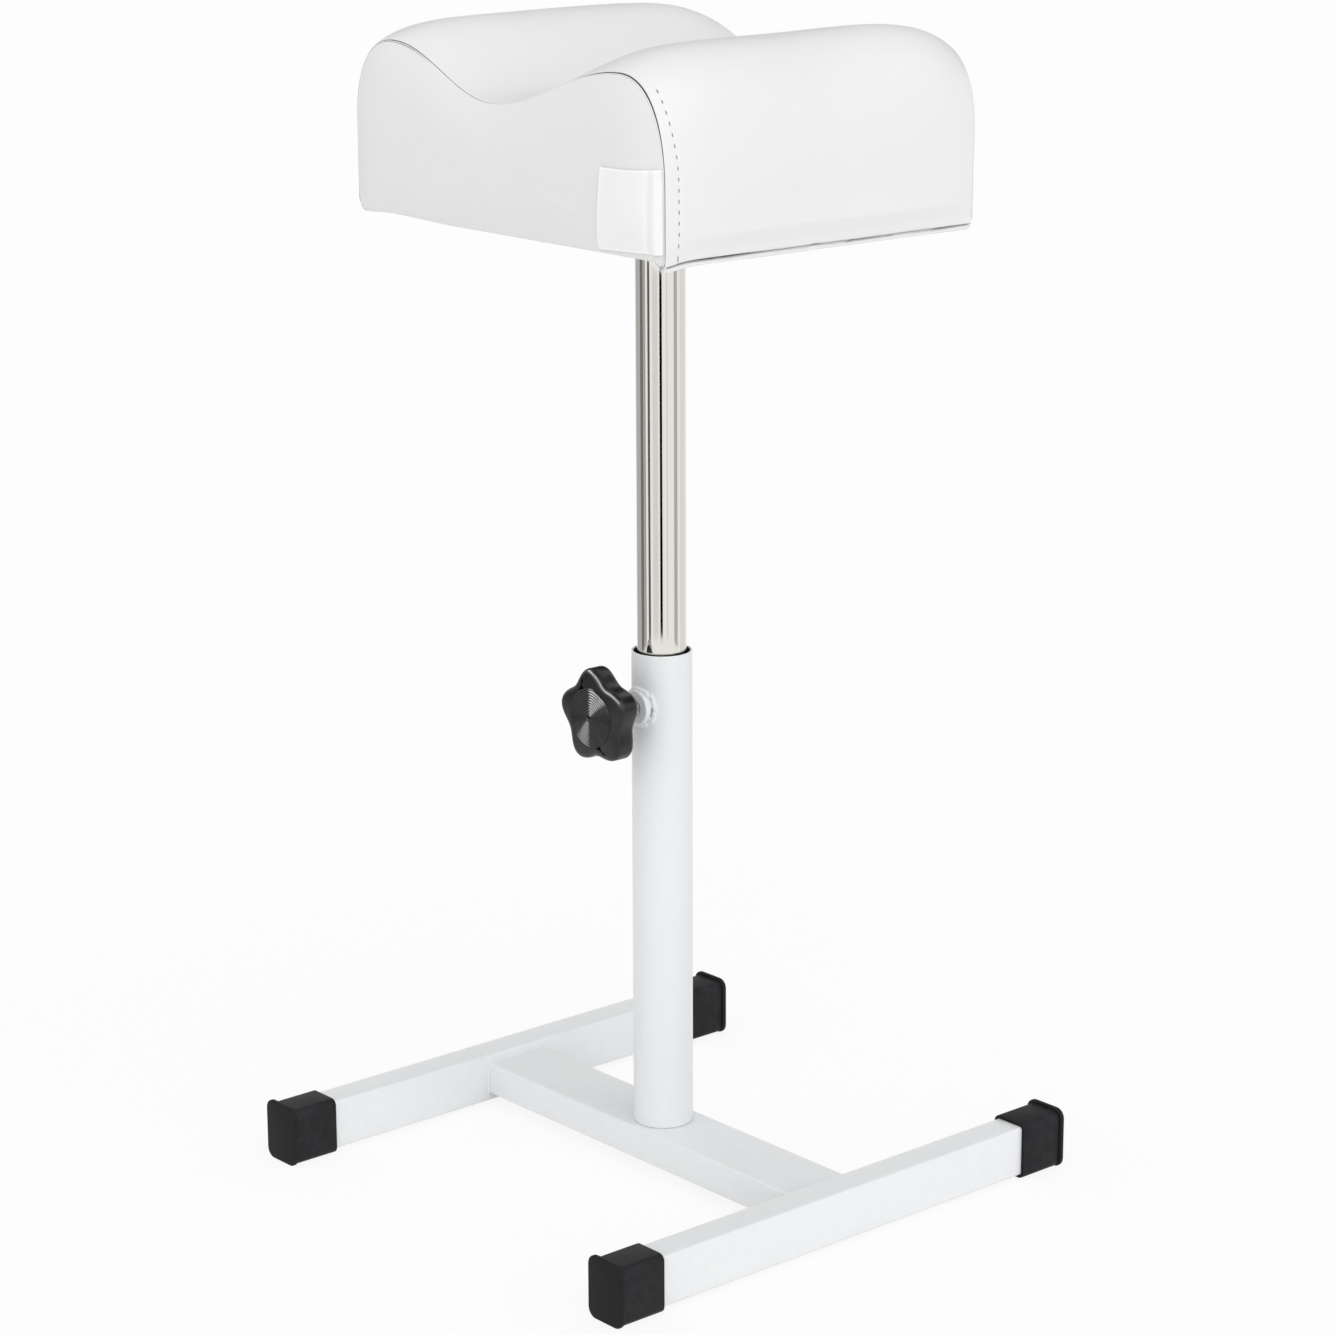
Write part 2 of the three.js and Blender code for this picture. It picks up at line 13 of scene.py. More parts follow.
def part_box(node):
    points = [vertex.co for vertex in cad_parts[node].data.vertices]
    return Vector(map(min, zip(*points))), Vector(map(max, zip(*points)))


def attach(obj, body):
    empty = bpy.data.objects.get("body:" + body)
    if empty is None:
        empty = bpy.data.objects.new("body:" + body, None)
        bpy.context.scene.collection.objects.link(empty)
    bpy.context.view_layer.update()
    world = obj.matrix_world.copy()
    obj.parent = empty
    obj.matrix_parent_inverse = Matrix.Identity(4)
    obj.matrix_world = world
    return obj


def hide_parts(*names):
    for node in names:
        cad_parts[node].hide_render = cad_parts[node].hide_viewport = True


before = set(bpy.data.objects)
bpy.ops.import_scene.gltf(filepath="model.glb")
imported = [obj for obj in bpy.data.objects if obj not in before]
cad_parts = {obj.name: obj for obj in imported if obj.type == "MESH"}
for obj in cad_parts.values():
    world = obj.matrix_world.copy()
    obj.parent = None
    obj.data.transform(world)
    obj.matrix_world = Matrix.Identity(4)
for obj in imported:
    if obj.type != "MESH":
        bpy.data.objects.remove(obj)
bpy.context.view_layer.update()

scene = bpy.context.scene


# The camera stands to the right of the knob, a little above the cushion, and looks down on the rest through
# a long lens.
camera_place = (1.572, -1.3574, 0.8646)
camera_azimuth = math.radians(49.1)
camera_elevation = math.radians(15.1)
camera_roll = math.radians(-0.19)
camera_lens = 101.1

camera_data = bpy.data.cameras.new("camera")
camera_data.lens = camera_lens
camera_data.sensor_width = 36
camera = bpy.data.objects.new("camera", camera_data)
scene.collection.objects.link(camera)
camera.matrix_world = (
    Matrix.Translation(camera_place)
    @ Matrix.Rotation(camera_azimuth, 4, "Z")
    @ Matrix.Rotation(math.radians(90) - camera_elevation, 4, "X")
    @ Matrix.Rotation(camera_roll, 4, "Z")
)
scene.camera = camera
scene.view_settings.view_transform = "Standard"


# The studio floor is a wide pale disc. What the camera and the metal see of it is close to white, and it
# keeps the soft shadow under the rest.
floor_radius = 16
floor_colour = (0.94, 0.94, 0.94, 1)
floor_whiteness = 0.87
white = (1, 1, 1, 1)


def node(tree, kind, inputs=None, **settings):
    """Adds a shader node, and links or fills its inputs."""
    made = tree.nodes.new(kind)
    for key, value in settings.items():
        setattr(made, key, value)
    for key, value in (inputs or {}).items():
        if isinstance(value, bpy.types.NodeSocket):
            tree.links.new(value, made.inputs[key])
        else:
            made.inputs[key].default_value = value
    return made


def math_node(tree, operation, *values):
    """A Math node's result."""
    return node(tree, "ShaderNodeMath", dict(enumerate(values)), operation=operation).outputs[0]


def seen_rays(tree):
    """1 for what the camera, a mirror or a glass sees, and 0 for light on its way."""
    path = node(tree, "ShaderNodeLightPath")
    seen = math_node(tree, "MAXIMUM", path.outputs["Is Camera Ray"], path.outputs["Is Glossy Ray"])
    return math_node(tree, "MAXIMUM", seen, path.outputs["Is Transmission Ray"])


def new_material(name):
    """A material, its node tree and its Principled shader."""
    made = bpy.data.materials.new(name)
    made.use_nodes = True
    return made, made.node_tree, made.node_tree.nodes["Principled BSDF"]


def placed(name, bm, material):
    """Turns a bmesh into an object in the scene."""
    mesh = bpy.data.meshes.new(name)
    bm.to_mesh(mesh)
    bm.free()
    mesh.materials.append(material)
    made = bpy.data.objects.new(name, mesh)
    scene.collection.objects.link(made)
    return made


floor_paint, tree, _ = new_material("studio_floor")
tree.nodes.clear()
shaded = node(tree, "ShaderNodeBsdfDiffuse", {"Color": floor_colour})
lit = node(tree, "ShaderNodeEmission", {"Color": white, "Strength": 1.0})
share = math_node(tree, "MULTIPLY", seen_rays(tree), floor_whiteness)
mixed = node(tree, "ShaderNodeMixShader", {0: share, 1: shaded.outputs[0], 2: lit.outputs[0]})
node(tree, "ShaderNodeOutputMaterial", {0: mixed.outputs[0]})

bm = bmesh.new()
bmesh.ops.create_circle(bm, cap_ends=True, segments=96, radius=floor_radius)
placed("studio_floor", bm, floor_paint)


# The light is even and soft: a broad key over the right shoulder, a lower fill from the left, and a glow all
# round. What the camera and the metal see round the rest is white.
glow = 0.67
lamps = {  # azimuth, elevation and width in degrees, and strength
    "key": (-12, 31, 80, 1.1),
    "fill": (-82, 20, 75, 0.5),
}


def ranged(tree, value, low, high, to_low=0.0, to_high=1.0, **settings):
    """A value's place between low and high, set between to_low and to_high."""
    return node(tree, "ShaderNodeMapRange", {
        "Value": value, "From Min": low, "From Max": high, "To Min": to_low, "To Max": to_high,
    }, **settings).outputs[0]


world = bpy.data.worlds.new("studio")
world.use_nodes = True
tree = world.node_tree
background = tree.nodes["Background"]
background.inputs["Color"].default_value = white
tree.links.new(ranged(tree, seen_rays(tree), 0.0, 1.0, glow, 1.0), background.inputs["Strength"])
scene.world = world
for lamp_name, (azimuth, elevation, width, strength) in lamps.items():
    lamp_data = bpy.data.lights.new(lamp_name, "SUN")
    lamp_data.angle = math.radians(width)
    lamp_data.energy = strength
    lamp = bpy.data.objects.new(lamp_name, lamp_data)
    lamp.rotation_euler = (0, math.radians(90 - elevation), math.radians(azimuth))
    scene.collection.objects.link(lamp)


# Panels stand round the rest, out of the picture, and only glossy surfaces show them, as the long dark lines
# down the chrome tube and as the depth of the black plastic.
panel_distance = 1.0
panels = {  # from and to in degrees to the right of the camera, foot and head in metres, and shade
    "far_left_panel": (-150, -108, 0.001, 0.5, 0.5),
    "left_panel": (-107, -86, 0.001, 0.5, 0.2),
    "left_edge_panel": (-85, -73, 0.001, 0.5, 0.42),
    "second_left_panel": (-61.5, -50.5, 0.001, 0.5, 0.11),
    "near_left_panel": (-38, -14, 0.001, 0.5, 0.8),
    "middle_panel": (-5.5, 5.5, 0.001, 0.5, 0.0),
    "near_right_panel": (25, 30, 0.001, 0.5, 0.75),
    "right_panel": (61, 79, 0.001, 0.5, 0.5),
    "far_right_panel": (95, 140, 0.001, 0.5, 0.86),
    "rear_panel": (138, 225, 0.54, 1.35, 0.01),
    "rear_right_panel": (78, 138, 0.8, 1.6, 0.01),
}
camera_bearing = math.degrees(math.atan2(camera_place[1], camera_place[0]))


def studio_panel(name, panel, see_through=False):
    """An upright curved panel that only glossy surfaces see.

    A see-through one adds light to what is behind it.
    """
    bearing, end_bearing, foot_height, head_height, shade = panel
    start = math.radians(camera_bearing + bearing)
    across, along = panel_distance * math.cos(start), panel_distance * math.sin(start)
    bm = bmesh.new()
    foot = bm.verts.new((across, along, foot_height))
    head = bm.verts.new((across, along, head_height))
    edge = bm.edges.new((foot, head))
    turn = math.radians(end_bearing - bearing)
    bmesh.ops.spin(bm, geom=[foot, head, edge], axis=(0, 0, 1), angle=turn, steps=16)
    paint, tree, _ = new_material(name)
    tree.nodes.clear()
    shown = node(tree, "ShaderNodeEmission", {"Color": white, "Strength": shade}).outputs[0]
    if see_through:
        clear = node(tree, "ShaderNodeBsdfTransparent", {"Color": white}).outputs[0]
        shown = node(tree, "ShaderNodeAddShader", {0: shown, 1: clear}).outputs[0]
    node(tree, "ShaderNodeOutputMaterial", {0: shown})
    made = placed(name, bm, paint)
    made.visible_camera = False
    made.visible_diffuse = False
    made.visible_shadow = False
    return made


for panel_name, panel in panels.items():
    studio_panel(panel_name, panel)


# The rails are two lengths of welded steel box tube, 30 by 20 mm with rolled corners, in a satin white
# powder coat.
tube_corner = 0.0018
tube_wall = 0.0012
corner_steps = 5


def effect_group(name, inputs, outputs):
    """An empty node group with float sockets, its input and output nodes, and the places on the piece."""
    group = bpy.data.node_groups.new(name, "ShaderNodeTree")
    for label, value in inputs.items():
        group.interface.new_socket(label, in_out="INPUT", socket_type="NodeSocketFloat").default_value = value
    for label in outputs:
        group.interface.new_socket(label, in_out="OUTPUT", socket_type="NodeSocketFloat")
    entry, leave = group.nodes.new("NodeGroupInput"), group.nodes.new("NodeGroupOutput")
    return group, entry, leave, node(group, "ShaderNodeTexCoord").outputs["Object"]


def placed_group(tree, group, **values):
    """A node group in a material, with its own values."""
    made = node(tree, "ShaderNodeGroup", node_tree=group)
    for label, value in values.items():
        made.inputs[label.replace("_", " ")].default_value = value
    return made


def mottled(tree, places, scale, detail):
    """A noise texture's value."""
    made = node(tree, "ShaderNodeTexNoise", {"Vector": places, "Scale": scale, "Detail": detail})
    return made.outputs["Fac"]


def between(tree, share, colour, other):
    """A colour on its way to another one."""
    return node(tree, "ShaderNodeMix", {0: share, 6: colour, 7: other}, data_type="RGBA").outputs[2]


surface_grain, entry, leave, places = effect_group(
    "surface_grain", {"Grain size": 0.001, "Patch size": 0.03, "Stretch": 1.0}, ["Grain", "Patches"]
)
stretch = node(surface_grain, "ShaderNodeCombineXYZ", {"X": 1.0, "Y": 1.0, "Z": entry.outputs["Stretch"]})
stretched = node(
    surface_grain, "ShaderNodeVectorMath", {0: places, 1: stretch.outputs[0]}, operation="MULTIPLY"
).outputs[0]
for size_label, label, detail in (("Grain size", "Grain", 2.0), ("Patch size", "Patches", 4.0)):
    scale = math_node(surface_grain, "DIVIDE", 1.0, entry.outputs[size_label])
    surface_grain.links.new(mottled(surface_grain, stretched, scale, detail), leave.inputs[label])

edge_wear_and_sheen, entry, leave, places = effect_group(
    "edge_wear_and_sheen", {"Sharpness": 0.08, "Break size": 0.006}, ["Wear"]
)
flat_pointiness = 0.51
point = node(edge_wear_and_sheen, "ShaderNodeNewGeometry").outputs["Pointiness"]
above = math_node(edge_wear_and_sheen, "SUBTRACT", point, flat_pointiness)
bare = ranged(edge_wear_and_sheen, above, 0.0, entry.outputs["Sharpness"])
break_scale = math_node(edge_wear_and_sheen, "DIVIDE", 1.0, entry.outputs["Break size"])
wear_and_sheen_mask = math_node(edge_wear_and_sheen, "MULTIPLY", bare, mottled(edge_wear_and_sheen, places, break_scale, 3.0))
edge_wear_and_sheen.links.new(wear_and_sheen_mask, leave.inputs["Wear"])


def surfaced(tree, shader, colour, roughness, height, depth, strength=1.0):
    """Links a shader's colour, roughness and bump."""
    tree.links.new(colour, shader.inputs["Base Color"])
    tree.links.new(roughness, shader.inputs["Roughness"])
    relief = node(tree, "ShaderNodeBump", {"Strength": strength, "Distance": depth, "Height": height})
    tree.links.new(relief.outputs[0], shader.inputs["Normal"])


def finish_material(name, colour, shade, roughness, roughness_spread, grain, patch, bump, wear_and_sheen=0.0,
                    wear_and_sheen_colour=(0.5, 0.5, 0.5, 1), stretch=1.0, **shader_values):
    """A material with grain in its bump, patches in its colour and gloss, and edges lighter from wear and
    painted sheen.

    grain and patch are sizes in metres, bump the grain's height. shade is the colour of the darker patches.
    """
    made, tree, shader = new_material(name)
    surface = placed_group(tree, surface_grain, Grain_size=grain, Patch_size=patch, Stretch=stretch)
    patches = surface.outputs["Patches"]
    base = between(tree, patches, shade, colour)
    if wear_and_sheen:
        edges = placed_group(tree, edge_wear_and_sheen)
        base = between(tree, math_node(tree, "MULTIPLY", edges.outputs["Wear"], wear_and_sheen), base, wear_and_sheen_colour)
    gloss = ranged(tree, patches, 0.3, 0.7, roughness, roughness + roughness_spread)
    surfaced(tree, shader, base, gloss, surface.outputs["Grain"], bump)
    for label, value in shader_values.items():
        shader.inputs[label.replace("_", " ")].default_value = value
    return made


powder_coat = finish_material(
    "powder_coat", colour=(0.8, 0.815, 0.825, 1), shade=(0.77, 0.785, 0.8, 1), roughness=0.3,
    roughness_spread=0.08, grain=0.0016, patch=0.05, bump=0.00004, wear_and_sheen=0.5, wear_and_sheen_colour=(0.9, 0.9, 0.9, 1),
)


def finished(bm, name, body, material, replaced=(), crease=35, scatter=1e-6, heart=None):
    """Turns a bmesh into a smooth-shaded piece that rides on a CAD body.

    Edges sharper than crease degrees stay sharp, and vertices closer than scatter become one. An open sheet
    faces away from its heart, a point inside the form that it covers.
    """
    bmesh.ops.remove_doubles(bm, verts=bm.verts, dist=scatter)
    bmesh.ops.recalc_face_normals(bm, faces=bm.faces)
    if heart:
        outward = [f.normal.dot(f.calc_center_median() - Vector(heart)) * f.calc_area() for f in bm.faces]
        if sum(outward) < 0:
            bmesh.ops.reverse_faces(bm, faces=bm.faces)
    piece = placed(name, bm, material)
    piece.data.shade_smooth()
    piece.data.set_sharp_from_angle(angle=math.radians(crease))
    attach(piece, body)
    if replaced:
        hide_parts(*replaced)
    return piece


def rounded(bm, edges, radius, steps):
    """Rounds edges of a bmesh."""
    bmesh.ops.bevel(bm, geom=edges, offset=radius, segments=steps, profile=0.5, affect="EDGES", material=-1)


def edge_run(edge, axis):
    """How far an edge runs along an axis."""
    return abs((edge.verts[0].co - edge.verts[1].co)[axis])


def rounded_bar(low, high, along, corner, steps=corner_steps):
    """A solid bar that fills a box, its four long edges rounded."""
    bm = bmesh.new()
    size = Vector(high) - Vector(low)
    middle = Matrix.Translation((Vector(low) + Vector(high)) / 2)
    bmesh.ops.create_cube(bm, size=1, matrix=middle @ Matrix.Diagonal((*size, 1)))
    rounded(bm, [e for e in bm.edges if edge_run(e, along) > size[along] / 2], corner, steps)
    return bm


def box_tube(low, high, along):
    """An open box tube with a real wall."""
    bm = rounded_bar(low, high, along, tube_corner)
    bm.normal_update()
    ends = [f for f in bm.faces if abs(f.normal[along]) > 0.9]
    bmesh.ops.delete(bm, geom=ends, context="FACES")
    bmesh.ops.solidify(bm, geom=bm.faces[:], thickness=tube_wall)
    return bm


for side in ("left", "right"):
    node_name = f"rail_{side}"
    low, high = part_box(node_name)
    finished(box_tube(low, high, 1), f"{side}_rail", "base", powder_coat, [node_name])


# The crossbar is a flat box tube laid between the rails and welded to them. The welds were ground flush on
# top and left as small beads in the upright corners and underneath, under the same powder coat.
bar_low, bar_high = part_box("crossbar")
bead_radius = 0.0011
bead_spacing = 0.0012
bead_taper = 0.3


def linked_edges(verts):
    """The edges that meet at some vertices."""
    return list({e for v in verts for e in v.link_edges})


def weld_bead(bm, path, radius, spread=0.16, closed=False, seed=1, sides=10):
    """A bead along a path: rings of uneven size, bridged one to the next. An open bead tapers at its ends."""
    dice = random.Random(seed)
    rings = []
    count = len(path)
    for i, place in enumerate(path):
        before = path[i - 1] if i or closed else place
        after = path[(i + 1) % count] if i < count - 1 or closed else place
        turn = (Vector(after) - Vector(before)).to_track_quat("Z", "X").to_matrix().to_4x4()
        size = radius * (1 + spread * (dice.random() * 2 - 1))
        if not closed:
            size *= math.sin(math.pi * (i + 0.5) / count) ** bead_taper
        stand = Matrix.Translation(place) @ turn
        ring = bmesh.ops.create_circle(bm, segments=sides, radius=size, matrix=stand)["verts"]
        rings.append(linked_edges(ring))
    for near, far in zip(rings, rings[1:] + rings[:1] if closed else rings[1:]):
        bmesh.ops.bridge_loops(bm, edges=near + far)
    if not closed:
        for loop in (rings[0], rings[-1]):
            bmesh.ops.contextual_create(bm, geom=loop)


finished(box_tube(bar_low, bar_high, 0), "cross_tube", "base", powder_coat, ["crossbar"])
bm = bmesh.new()
for end in (bar_low.x, bar_high.x):
    x = end - math.copysign(bead_radius / 3, end)
    for side in (bar_low.y, bar_high.y):
        y = side + math.copysign(bead_radius / 3, side)
        steps = int((bar_high.z - bar_low.z) / bead_spacing)
        upright = [(x, y, bar_low.z + (i + 0.5) * bead_spacing) for i in range(steps - 1)]
        weld_bead(bm, upright, bead_radius, seed=steps)
    steps = int((bar_high.y - bar_low.y) / bead_spacing)
    under = [(x, bar_low.y + (i + 0.5) * bead_spacing, bar_low.z) for i in range(steps)]
    weld_bead(bm, under, bead_radius, seed=steps)
finished(bm, "crossbar_welds", "base", powder_coat, crease=60)


# Four black caps close the rails' ends. Each is a moulded plastic sleeve with soft edges, and a rim at its
# outer end that stands proud of the sleeve and touches the floor.
cap_wall = 0.002
cap_rim_thickness = 0.0028
cap_rim_proud = 0.002
cap_rim_below = 0.0005
cap_sleeve_corner = 0.0039
cap_rim_round = 0.0008
cap_bore_depth = 0.02

# The caps' edges are painted lighter, partly as wear and partly as a painted sheen along them.
cap_plastic = finish_material(
    "cap_plastic", colour=(0.014, 0.014, 0.0155, 1), shade=(0.011, 0.011, 0.0125, 1), roughness=0.42,
    roughness_spread=0.1, grain=0.0005, patch=0.012, bump=0.00003, wear_and_sheen=0.6,
    wear_and_sheen_colour=(0.06, 0.06, 0.065, 1), Specular_IOR_Level=0.08,
)


def verts_of(geometry):
    """The vertices in an operator's result."""
    return [item for item in geometry if isinstance(item, bmesh.types.BMVert)]


def edges_of(geometry):
    """The edges in an operator's result."""
    return [item for item in geometry if isinstance(item, bmesh.types.BMEdge)]


for cad_cap in [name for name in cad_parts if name.startswith("end_cap")]:
    low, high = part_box(cad_cap)
    outwards = math.copysign(1, low.y + high.y)
    sleeve_low = Vector((low.x + cap_rim_proud, low.y, low.z + cap_rim_below))
    sleeve_high = Vector((high.x - cap_rim_proud, high.y, high.z - cap_rim_proud))
    rim_low, rim_high = low.copy(), high.copy()
    if outwards > 0:
        sleeve_high.y -= cap_rim_thickness
        mouth_y, rim_low.y = sleeve_low.y, sleeve_high.y
    else:
        sleeve_low.y += cap_rim_thickness
        mouth_y, rim_high.y = sleeve_high.y, sleeve_low.y
    bm = rounded_bar(sleeve_low, sleeve_high, 1, cap_sleeve_corner)
    bm.normal_update()
    mouth = [f for f in bm.faces if f.normal.y * outwards < -0.9]
    bmesh.ops.inset_region(bm, faces=mouth, thickness=cap_wall)
    inner = bmesh.ops.extrude_face_region(bm, geom=mouth)
    bmesh.ops.delete(bm, geom=mouth, context="FACES_ONLY")
    bmesh.ops.translate(bm, verts=verts_of(inner["geom"]), vec=(0, outwards * cap_bore_depth, 0))
    lips = [e for e in bm.edges if all(abs(v.co.y - mouth_y) < 1e-7 for v in e.verts)]
    rounded(bm, lips, cap_rim_round / 2, 3)
    rim = rounded_bar(rim_low, rim_high, 1, cap_sleeve_corner + cap_rim_proud)
    rounded(rim, [e for e in rim.edges if edge_run(e, 1) < 1e-7 and e.is_manifold], cap_rim_round, 4)
    rim_mesh = bpy.data.meshes.new("rim")
    rim.to_mesh(rim_mesh)
    rim.free()
    bm.from_mesh(rim_mesh)
    bpy.data.meshes.remove(rim_mesh)
    cap_name = cad_cap.replace("end_cap", "cap")
    finished(bm, cap_name, "base", cap_plastic, [cad_cap], crease=40)


# The post is a round steel tube, 35 mm across, in the same powder coat, with an open top and a softened rim.
# It stands on the crossbar on the inner part of its wall, so a fine dark line runs round its foot.
post_rim_round = 0.0005
post_sides = 128
post_foot_gap = 0.00045
post_foot_step = 0.0008


def softened(profile, radius, steps=4):
    """A closed profile with its corners rounded."""
    made = []
    for before, corner, after in zip(profile[-1:] + profile[:-1], profile, profile[1:] + profile[:1]):
        corner = Vector(corner)
        arms = [Vector(before) - corner, Vector(after) - corner]
        if corner.x < 1e-9 or abs(arms[0].normalized().dot(arms[1].normalized())) > 0.99:
            made.append(tuple(corner))
            continue
        near, far = (corner + arm.normalized() * min(radius, arm.length * 0.45) for arm in arms)
        for i in range(steps + 1):
            share = i / steps
            made.append(tuple(near * (1 - share) ** 2 + corner * 2 * share * (1 - share) + far * share ** 2))
    return made


def turned(bm, profile, steps=64, place=Matrix(), closed=True):
    """Spins a profile of (radius, height) pairs round the Z axis of its place."""
    verts = [bm.verts.new(place @ Vector((radius, 0, height))) for radius, height in profile]
    pairs = zip(verts, verts[1:] + verts[:1]) if closed else zip(verts, verts[1:])
    edges = [bm.edges.new(pair) for pair in pairs if pair[0].co != pair[1].co]
    axis = place.to_3x3() @ Vector((0, 0, 1))
    bmesh.ops.spin(
        bm, geom=verts + edges, cent=place.translation, axis=axis, angle=math.tau, steps=steps, use_merge=True
    )


def turned_ring(inner, outer, low, high, edge_round, steps=64, place=Matrix(), bm=None):
    """A ring with rounded edges, in a bmesh."""
    if bm is None:
        bm = bmesh.new()
    profile = [(inner, low), (outer, low), (outer, high), (inner, high)]
    turned(bm, softened(profile, edge_round), steps, place)
    return bm


post_low, post_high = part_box("post_tube")
post_radius = post_high.x
post_bore = post_radius - tube_wall
bm = bmesh.new()
turned(bm, softened([
    (post_bore, post_low.z),
    (post_radius - post_foot_step, post_low.z),
    (post_radius - post_foot_step, post_low.z + post_foot_gap),
    (post_radius, post_low.z + post_foot_gap),
    (post_radius, post_high.z),
    (post_bore, post_high.z),
], post_rim_round), post_sides)
post = finished(bm, "post", "base", powder_coat, ["post_tube"])
bare_steel = finish_material(
    "bare_steel", colour=(0.035, 0.033, 0.032, 1), shade=(0.022, 0.021, 0.02, 1), roughness=0.6,
    roughness_spread=0.2, grain=0.001, patch=0.01, bump=0.00003,
)
post.data.materials.append(bare_steel)
for face in post.data.polygons:
    inside = math.hypot(face.center.x, face.center.y) < post_radius - tube_wall * 0.9
    if inside and face.center.z < post_high.z - post_rim_round:
        face.material_index = 1


# The post is held down by an M8 button-head screw from below the crossbar, with a washer under its head. It
# runs into a steel plug in the post's foot. All three are bright zinc.
zinc = finish_material(
    "bright_zinc", colour=(0.62, 0.63, 0.65, 1), shade=(0.5, 0.51, 0.52, 1), roughness=0.22,
    roughness_spread=0.16, grain=0.0004, patch=0.006, bump=0.000012, wear_and_sheen=0.3,
    wear_and_sheen_colour=(0.8, 0.8, 0.8, 1), Metallic=1.0,
)
bolt_low, bolt_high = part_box("base_bolt")
base_washer_low, base_washer_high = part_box("base_washer")
bolt_radius = 0.004
bolt_hexagon = 0.005
bolt_hexagon_depth = 0.0026
bolt_dome = 0.002
washer_hole = 0.0043
washer_round = 0.0003


def headed_screw(bm, head_low, head_high, tip, head_radius, radius, hexagon, depth, dome):
    """An upright screw, head down: a domed head with a hexagon socket, and a plain shank."""
    socket = hexagon / 2 / math.cos(math.pi / 6)
    flat = socket * 1.25
    arc = [math.pi / 2 * i / 6 for i in range(7)]
    rise = [(flat + (head_radius - flat) * math.sin(a), head_low + dome * (1 - math.cos(a))) for a in arc]
    shank = [(head_radius, head_high), (radius, head_high), (radius, tip - radius / 5), (radius * 0.8, tip)]
    turned(bm, [*rise, *shank, (0, tip)], steps=48, closed=False)
    face_ring = [e for e in bm.edges if e.is_boundary and all(abs(v.co.z - head_low) < 1e-7 for v in e.verts)]
    face = Matrix.Translation((0, 0, head_low))
    corners = bmesh.ops.create_circle(bm, segments=6, radius=socket, matrix=face)["verts"]
    sides = linked_edges(corners)
    bmesh.ops.bridge_loops(bm, edges=face_ring + sides)
    walls = bmesh.ops.extrude_edge_only(bm, edges=sides)["geom"]
    floor_verts = verts_of(walls)
    bmesh.ops.translate(bm, verts=floor_verts, vec=(0, 0, depth))
    floor_edges = [e for e in edges_of(walls) if all(v in floor_verts for v in e.verts)]
    bmesh.ops.contextual_create(bm, geom=floor_edges)


def repainted(names, material):
    """Gives CAD nodes whose shape is right a finished material."""
    for cad_name in names:
        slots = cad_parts[cad_name].data.materials
        slots.clear()
        slots.append(material)


bm = bmesh.new()
headed_screw(
    bm, bolt_low.z, base_washer_low.z, bolt_high.z, bolt_high.x, bolt_radius, bolt_hexagon,
    bolt_hexagon_depth, bolt_dome,
)
finished(bm, "foot_screw", "base", zinc, ["base_bolt"])
bm = turned_ring(washer_hole, base_washer_high.x, base_washer_low.z, base_washer_high.z, washer_round)
finished(bm, "foot_washer", "base", zinc, ["base_washer"])
repainted(["post_foot_plug"], zinc)


# The clamp boss is a short steel bush welded to the front of the post. The weld round it is a hand-laid bead
# with a few lumps where it was started and stopped, all under the powder coat.
boss_low, boss_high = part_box("clamp_boss")
clamp_height = (boss_low.z + boss_high.z) / 2
clamp_place = Matrix.Translation((0, 0, clamp_height)) @ Matrix.Rotation(math.pi / 2, 4, "X")
boss_radius = boss_high.x
boss_face = -boss_low.y
boss_bore = 0.0042
boss_back = 0.0165
boss_round = 0.0008
weld_radius = 0.0014
weld_standoff = 0.0006
weld_wander = 0.0003
weld_waves, weld_wave_height = 9, 0.0002
weld_steps = 72
weld_lumps = {38: 0.0021, 60: 0.0016, -26: 0.0019, -38: 0.0022, -62: 0.0017, 150: 0.002, 205: 0.0018}
lump_squash = (0.9, 0.62, 1.3, 1)
lump_out, lump_stand = 0.6, 0.35
weld_grid = 0.0003


def post_surface(x):
    """How far the post's surface stands in front of its axis at x."""
    return math.sqrt(post_radius ** 2 - x ** 2)


def applied(piece):
    """Gives a piece the mesh that its modifiers make, and takes them off."""
    shaped = bpy.data.meshes.new_from_object(piece.evaluated_get(bpy.context.evaluated_depsgraph_get()))
    piece.modifiers.clear()
    before = piece.data
    piece.data = shaped
    bpy.data.meshes.remove(before)
    return piece


bm = turned_ring(boss_bore, boss_radius, boss_back, boss_face, boss_round, 96, clamp_place)
bead = []
dice = random.Random(7)
for i in range(weld_steps):
    angle = math.tau * i / weld_steps
    reach = boss_radius + weld_standoff + weld_wander * (dice.random() - 0.5)
    x = reach * math.cos(angle)
    stand = post_surface(x) + weld_standoff + weld_wave_height * math.sin(weld_waves * angle)
    bead.append((x, -stand, clamp_height + reach * math.sin(angle)))
weld_bead(bm, bead, weld_radius, spread=0.2, closed=True, seed=5)
for degrees, size in weld_lumps.items():
    angle = math.radians(degrees)
    reach = boss_radius + size * lump_out
    x, z = reach * math.cos(angle), clamp_height + reach * math.sin(angle)
    lump = Matrix.Translation((x, -post_surface(x) - size * lump_stand, z)) @ Matrix.Rotation(-angle, 4, "Y")
    lump = lump @ Matrix.Diagonal(lump_squash)
    bmesh.ops.create_icosphere(bm, subdivisions=3, radius=size, matrix=lump)
bm.normal_update()
boss = finished(
    bm, "clamp_boss_welded", "base", powder_coat, ["clamp_boss"], crease=180,
    scatter=1e-8,
)
boss.modifiers.new("melt", "REMESH").voxel_size = weld_grid
smoothing = boss.modifiers.new("flow", "SMOOTH")
smoothing.iterations = 6
smoothing.factor = 0.5
applied(boss).data.shade_smooth()
boss.data.materials.clear()
boss.data.materials.append(powder_coat)


